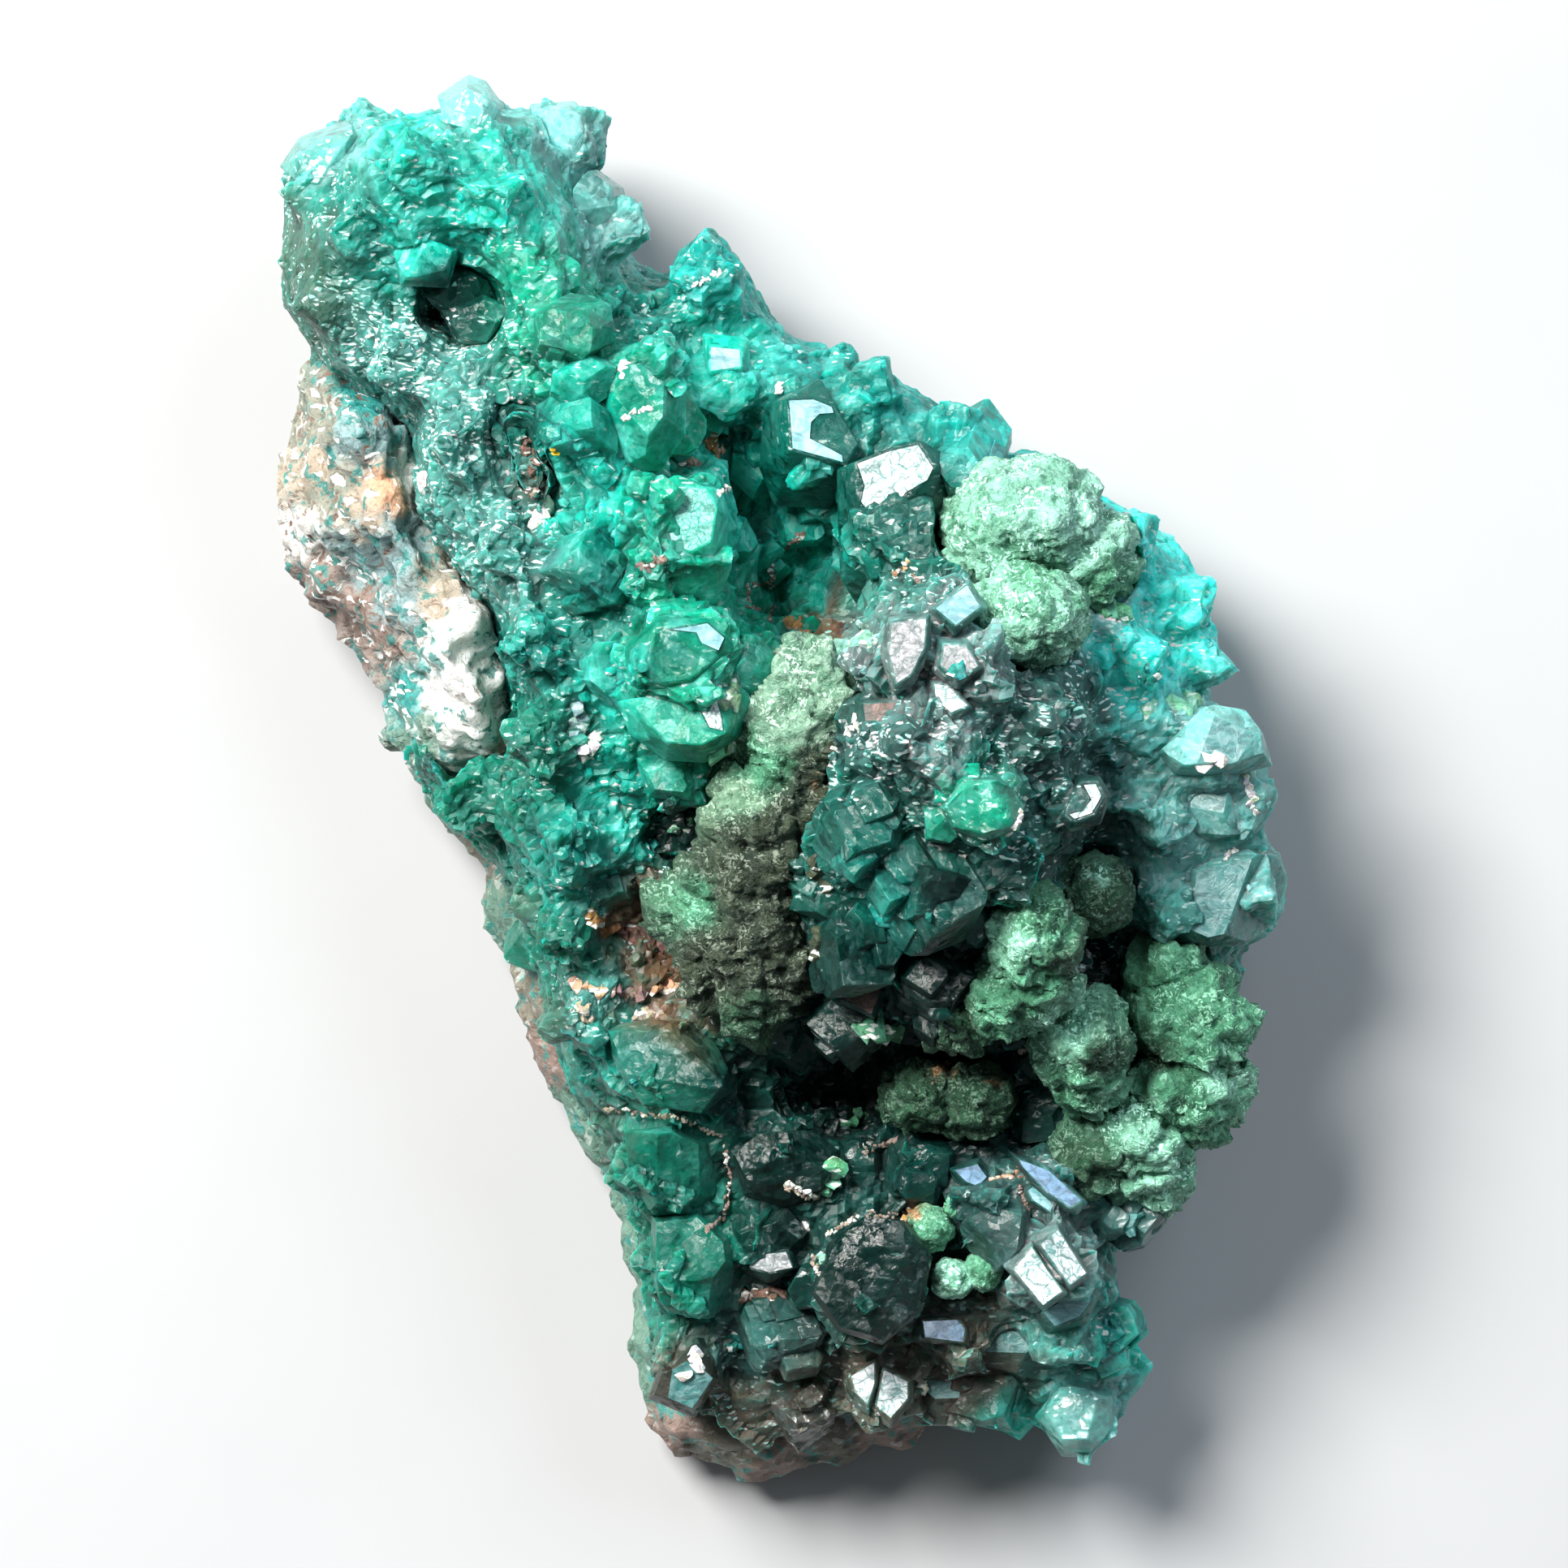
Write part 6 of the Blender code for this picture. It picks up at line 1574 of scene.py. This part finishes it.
for slot, rows in smallCrusts.items():
    chance = random.Random(len(rows))
    whole = bmesh.new()
    tintLayer = whole.verts.layers.float_color.new("tint")
    for x, y, width, length, direction, tone in rows:
        pieces = max(2, round(2.4 * length / width))
        along = Vector((math.cos(math.radians(direction)), math.sin(math.radians(direction)), 0.0))
        across = Vector((-along.y, along.x, 0.0))
        for i in range(pieces):
            step = ((i + 0.5) / pieces - 0.5) * (length - 0.5 * width)
            spot = Vector((x, y, 0.0)) + step * along + chance.uniform(-0.3, 0.3) * width * across
            size = width * chance.uniform(0.75, 1.25)
            grain = grainWork(chance, 13)
            for vert in grain.verts:
                vert.co = (spot + size * Vector((1.15 * vert.co.x, 1.15 * vert.co.y, 0.8 * vert.co.z))) * mm
                vert.co.z += (topAt(spot.x, spot.y) - 0.12 * size) * mm
            places = []
            for vert in grain.verts:
                place = whole.verts.new(vert.co)
                place[tintLayer] = (*(chance.uniform(0.8, 1.2) * value for value in tones[tone]), 1.0)
                places.append(place)
            grain.verts.index_update()
            for face in grain.faces:
                whole.faces.new([places[vert.index] for vert in face.verts])
            grain.free()
    mesh = bpy.data.meshes.new(f"small_{slot}_crusts")
    whole.to_mesh(mesh)
    whole.free()
    mesh.materials.append(crustFinish[slot])
    finishPiece(linkMesh(f"small_{slot}_crusts", mesh), None)
    print("small crusts", slot, len(mesh.polygons))


# malachite: velvety green balls of tiny needles

malachitePieces = {
    # voxel, size of the lumps, their height, how far the crust grows, how broken, how wide the foot, seed
    "malachite_upper_mounds": (0.15, 1.3, 0.50, 0.22, 0.35, 0.2, 1.0),
    "malachite_dark_ball": (0.12, 0.9, 0.25, 0.15, 0.2, 0.0, 2.0),
    "malachite_middle_lumps": (0.13, 1.1, 0.35, 0.22, 0.5, 0.2, 3.0),
    "malachite_lower_lump": (0.12, 1.0, 0.30, 0.20, 0.5, 0.2, 4.0),
    "malachite_right_lumps": (0.16, 1.3, 0.45, 0.30, 0.6, 0.5, 5.0),
    "malachite_twin_balls": (0.12, 0.8, 0.25, 0.12, 0.45, 0.1, 6.0),
    "malachite_beads": (0.09, 0.5, 0.12, 0.10, 0.1, 0.0, 7.0),
    "malachite_bead": (0.09, 0.5, 0.12, 0.10, 0.1, 0.0, 8.0),
    "malachite_ridge": (0.15, 1.4, 0.60, 0.25, 0.55, 1.1, 9.0),
}


def malachiteMaterial():
    made, tree, shader = newMaterial("malachite")
    where = millimetres(tree)
    tint = attributeOf(tree, "tint", "Color")
    bent = bentPlaces(tree, where, 1.3, 0.8)
    # painted shade: where the patch noise, also used for the bump, is low, the colour is darker
    patches = noiseOf(tree, bent, 1.4, 5.0, 0.65, 0.6)
    base = blend(tree, "MULTIPLY", spread(tree, patches, 0.58, 0.36), tint, (0.30, 0.50, 0.42))
    # painted shade in the pits: the same noise darkens the colour and sinks the bump
    pits = noiseOf(tree, where, 3.2, 4.0, 0.7, 0.4)
    base = blend(tree, "MULTIPLY", spread(tree, pits, 0.44, 0.32, 0.0, 0.85), base, (0.16, 0.32, 0.24))
    # painted shade in the crevices between the lumps, from the hollow value
    low = attributeOf(tree, "hollow")
    base = blend(tree, "MULTIPLY", low, base, (0.22, 0.40, 0.32))
    # painted glints: thin needle slivers mixed towards a pale green
    needles = sliverCells(tree, bentPlaces(tree, where, 0.9, 1.2), 5.0, 12.0, 50)
    others = sliverCells(tree, bentPlaces(tree, where, 1.4, 0.9), 12.0, 5.5, 15)
    glint = added(tree, spread(tree, needles.outputs[0], 0.80, 0.88),
        spread(tree, others.outputs[0], 0.84, 0.9), "MAXIMUM")
    crowd = spread(tree, noiseOf(tree, where, 0.9, 4.0), 0.40, 0.62, 0.05, 1.0)
    base = blend(tree, "MIX", added(tree, glint, crowd, "MULTIPLY"), base,
        blend(tree, "MIX", 0.22, blend(tree, "MULTIPLY", 1.0, tint, (2.4, 2.0, 2.2)), (0.80, 0.98, 0.86)))
    tree.links.new(base, shader.inputs["Base Color"])
    tree.links.new(spread(tree, pits, 0.35, 0.65, 0.3, 0.75), shader.inputs["Roughness"])
    normal = bumpOf(tree, pits, 0.2)
    normal = bumpOf(tree, needles.outputs[1], 0.05, normal)
    normal = bumpOf(tree, patches, 0.25, normal)
    tree.links.new(normal, shader.inputs["Normal"])
    shader.inputs["Sheen Weight"].default_value = 0.1
    shader.inputs["Sheen Roughness"].default_value = 0.4
    shader.inputs["Sheen Tint"].default_value = (0.6, 0.95, 0.8, 1.0)
    return made


malachiteFinish = malachiteMaterial()
for name, (voxel, lumpSize, lumpHeight, growth, breaks, foot, seed) in malachitePieces.items():
    lump = remeshed(nodeCopy(name, name + "_crust"), voxel, 2)
    points = readPoints(lump.data)
    normals = readNormals(lump.data)
    cells = cellsAt(points, lumpSize, seed)[:, 0]
    small = cellsAt(points, 0.4 * lumpSize, seed)[:, 0]
    fine = fractalAt(points, 0.35 * lumpSize, 4, seed)
    rise = lumpHeight * (0.5 - cells) + 0.3 * lumpHeight * (0.5 - small) + 0.35 * lumpHeight * fine
    rise += breaks * planesAt(points, 1.1) + 0.4 * breaks * planesAt(points, 0.5)
    foot = foot * np.clip(0.5 * (5.5 - points[:, 1]), 0.0, 1.0)
    rise += foot * np.clip(0.8 - normals[:, 2], 0.0, 1.0) * np.clip(0.6 + fractalAt(points, 2.0, 3, seed),
        0.0, 1.2)
    points = points + normals * (rise + growth)[:, None]
    writePoints(lump.data, points)
    writeColour(lump.data, "tint", toneAt(wandered(points, 0.5), malachiteSpots))
    # painted shade: the hollow value is high in the crevices between the lumps
    writeValue(lump.data, "hollow", np.clip((cells - 0.5) * 2.2, 0.0, 1.0))
    lump.data.shade_smooth()
    lump.data.materials.append(malachiteFinish)
    finishPiece(lump, name)
    print(name, len(lump.data.polygons))


# studio: pale floor, soft light from the upper left, camera straight above

studio = {
    "floorSize": 1.6, "floorTone": (0.40, 0.41, 0.42), "cameraHeight": 0.5232, "lens": 300.0,
    "keyPlace": (-0.21, 0.21, 0.36), "keySize": 0.22, "keyPower": 6.0,
    "skyPlace": (0.28, 0.30, 0.42), "skySize": 0.35, "skyPower": 1.8,
    "worldTone": (0.62, 0.66, 0.70), "worldStrength": 0.24,
}


def floorMaterial():
    made, tree, shader = newMaterial("pale studio floor")
    where = addNode(tree, "ShaderNodeTexCoord").outputs["Object"]
    soft = noiseOf(tree, where, 30.0, 4.0)
    base = blend(tree, "MIX", spread(tree, soft, 0.3, 0.7), studio["floorTone"], (0.37, 0.38, 0.39))
    tree.links.new(base, shader.inputs["Base Color"])
    shader.inputs["Roughness"].default_value = 0.7
    return made


def areaLight(name, place, size, power, tone):
    light = bpy.data.lights.new(name, "AREA")
    light.shape = "DISK"
    light.size = size
    light.energy = power
    light.color = tone
    made = bpy.data.objects.new(name, light)
    bpy.context.scene.collection.objects.link(made)
    made.location = place
    made.rotation_euler = (-Vector(place)).to_track_quat("-Z", "Y").to_euler()
    return made


floorWork = bmesh.new()
bmesh.ops.create_grid(floorWork, x_segments=8, y_segments=8, size=0.5 * studio["floorSize"])
floorMesh = bpy.data.meshes.new("studio_floor")
floorWork.to_mesh(floorMesh)
floorWork.free()
floor = linkMesh("studio_floor", floorMesh)
floorMesh.materials.append(floorMaterial())

areaLight("key light", studio["keyPlace"], studio["keySize"], studio["keyPower"], (1.0, 0.97, 0.93))
areaLight("sky light", studio["skyPlace"], studio["skySize"], studio["skyPower"], (0.80, 0.90, 1.0))
world = bpy.data.worlds.new("soft room")
bpy.context.scene.world = world
world.use_nodes = True
background = world.node_tree.nodes["Background"]
background.inputs["Color"].default_value = (*studio["worldTone"], 1.0)
background.inputs["Strength"].default_value = studio["worldStrength"]

cameraData = bpy.data.cameras.new("camera")
cameraData.lens = studio["lens"]
cameraData.sensor_width = 36.0
camera = bpy.data.objects.new("camera", cameraData)
bpy.context.scene.collection.objects.link(camera)
camera.location = (0.0, 0.0, studio["cameraHeight"])
bpy.context.scene.camera = camera
bpy.context.scene.view_settings.view_transform = "Standard"
print("studio ready")
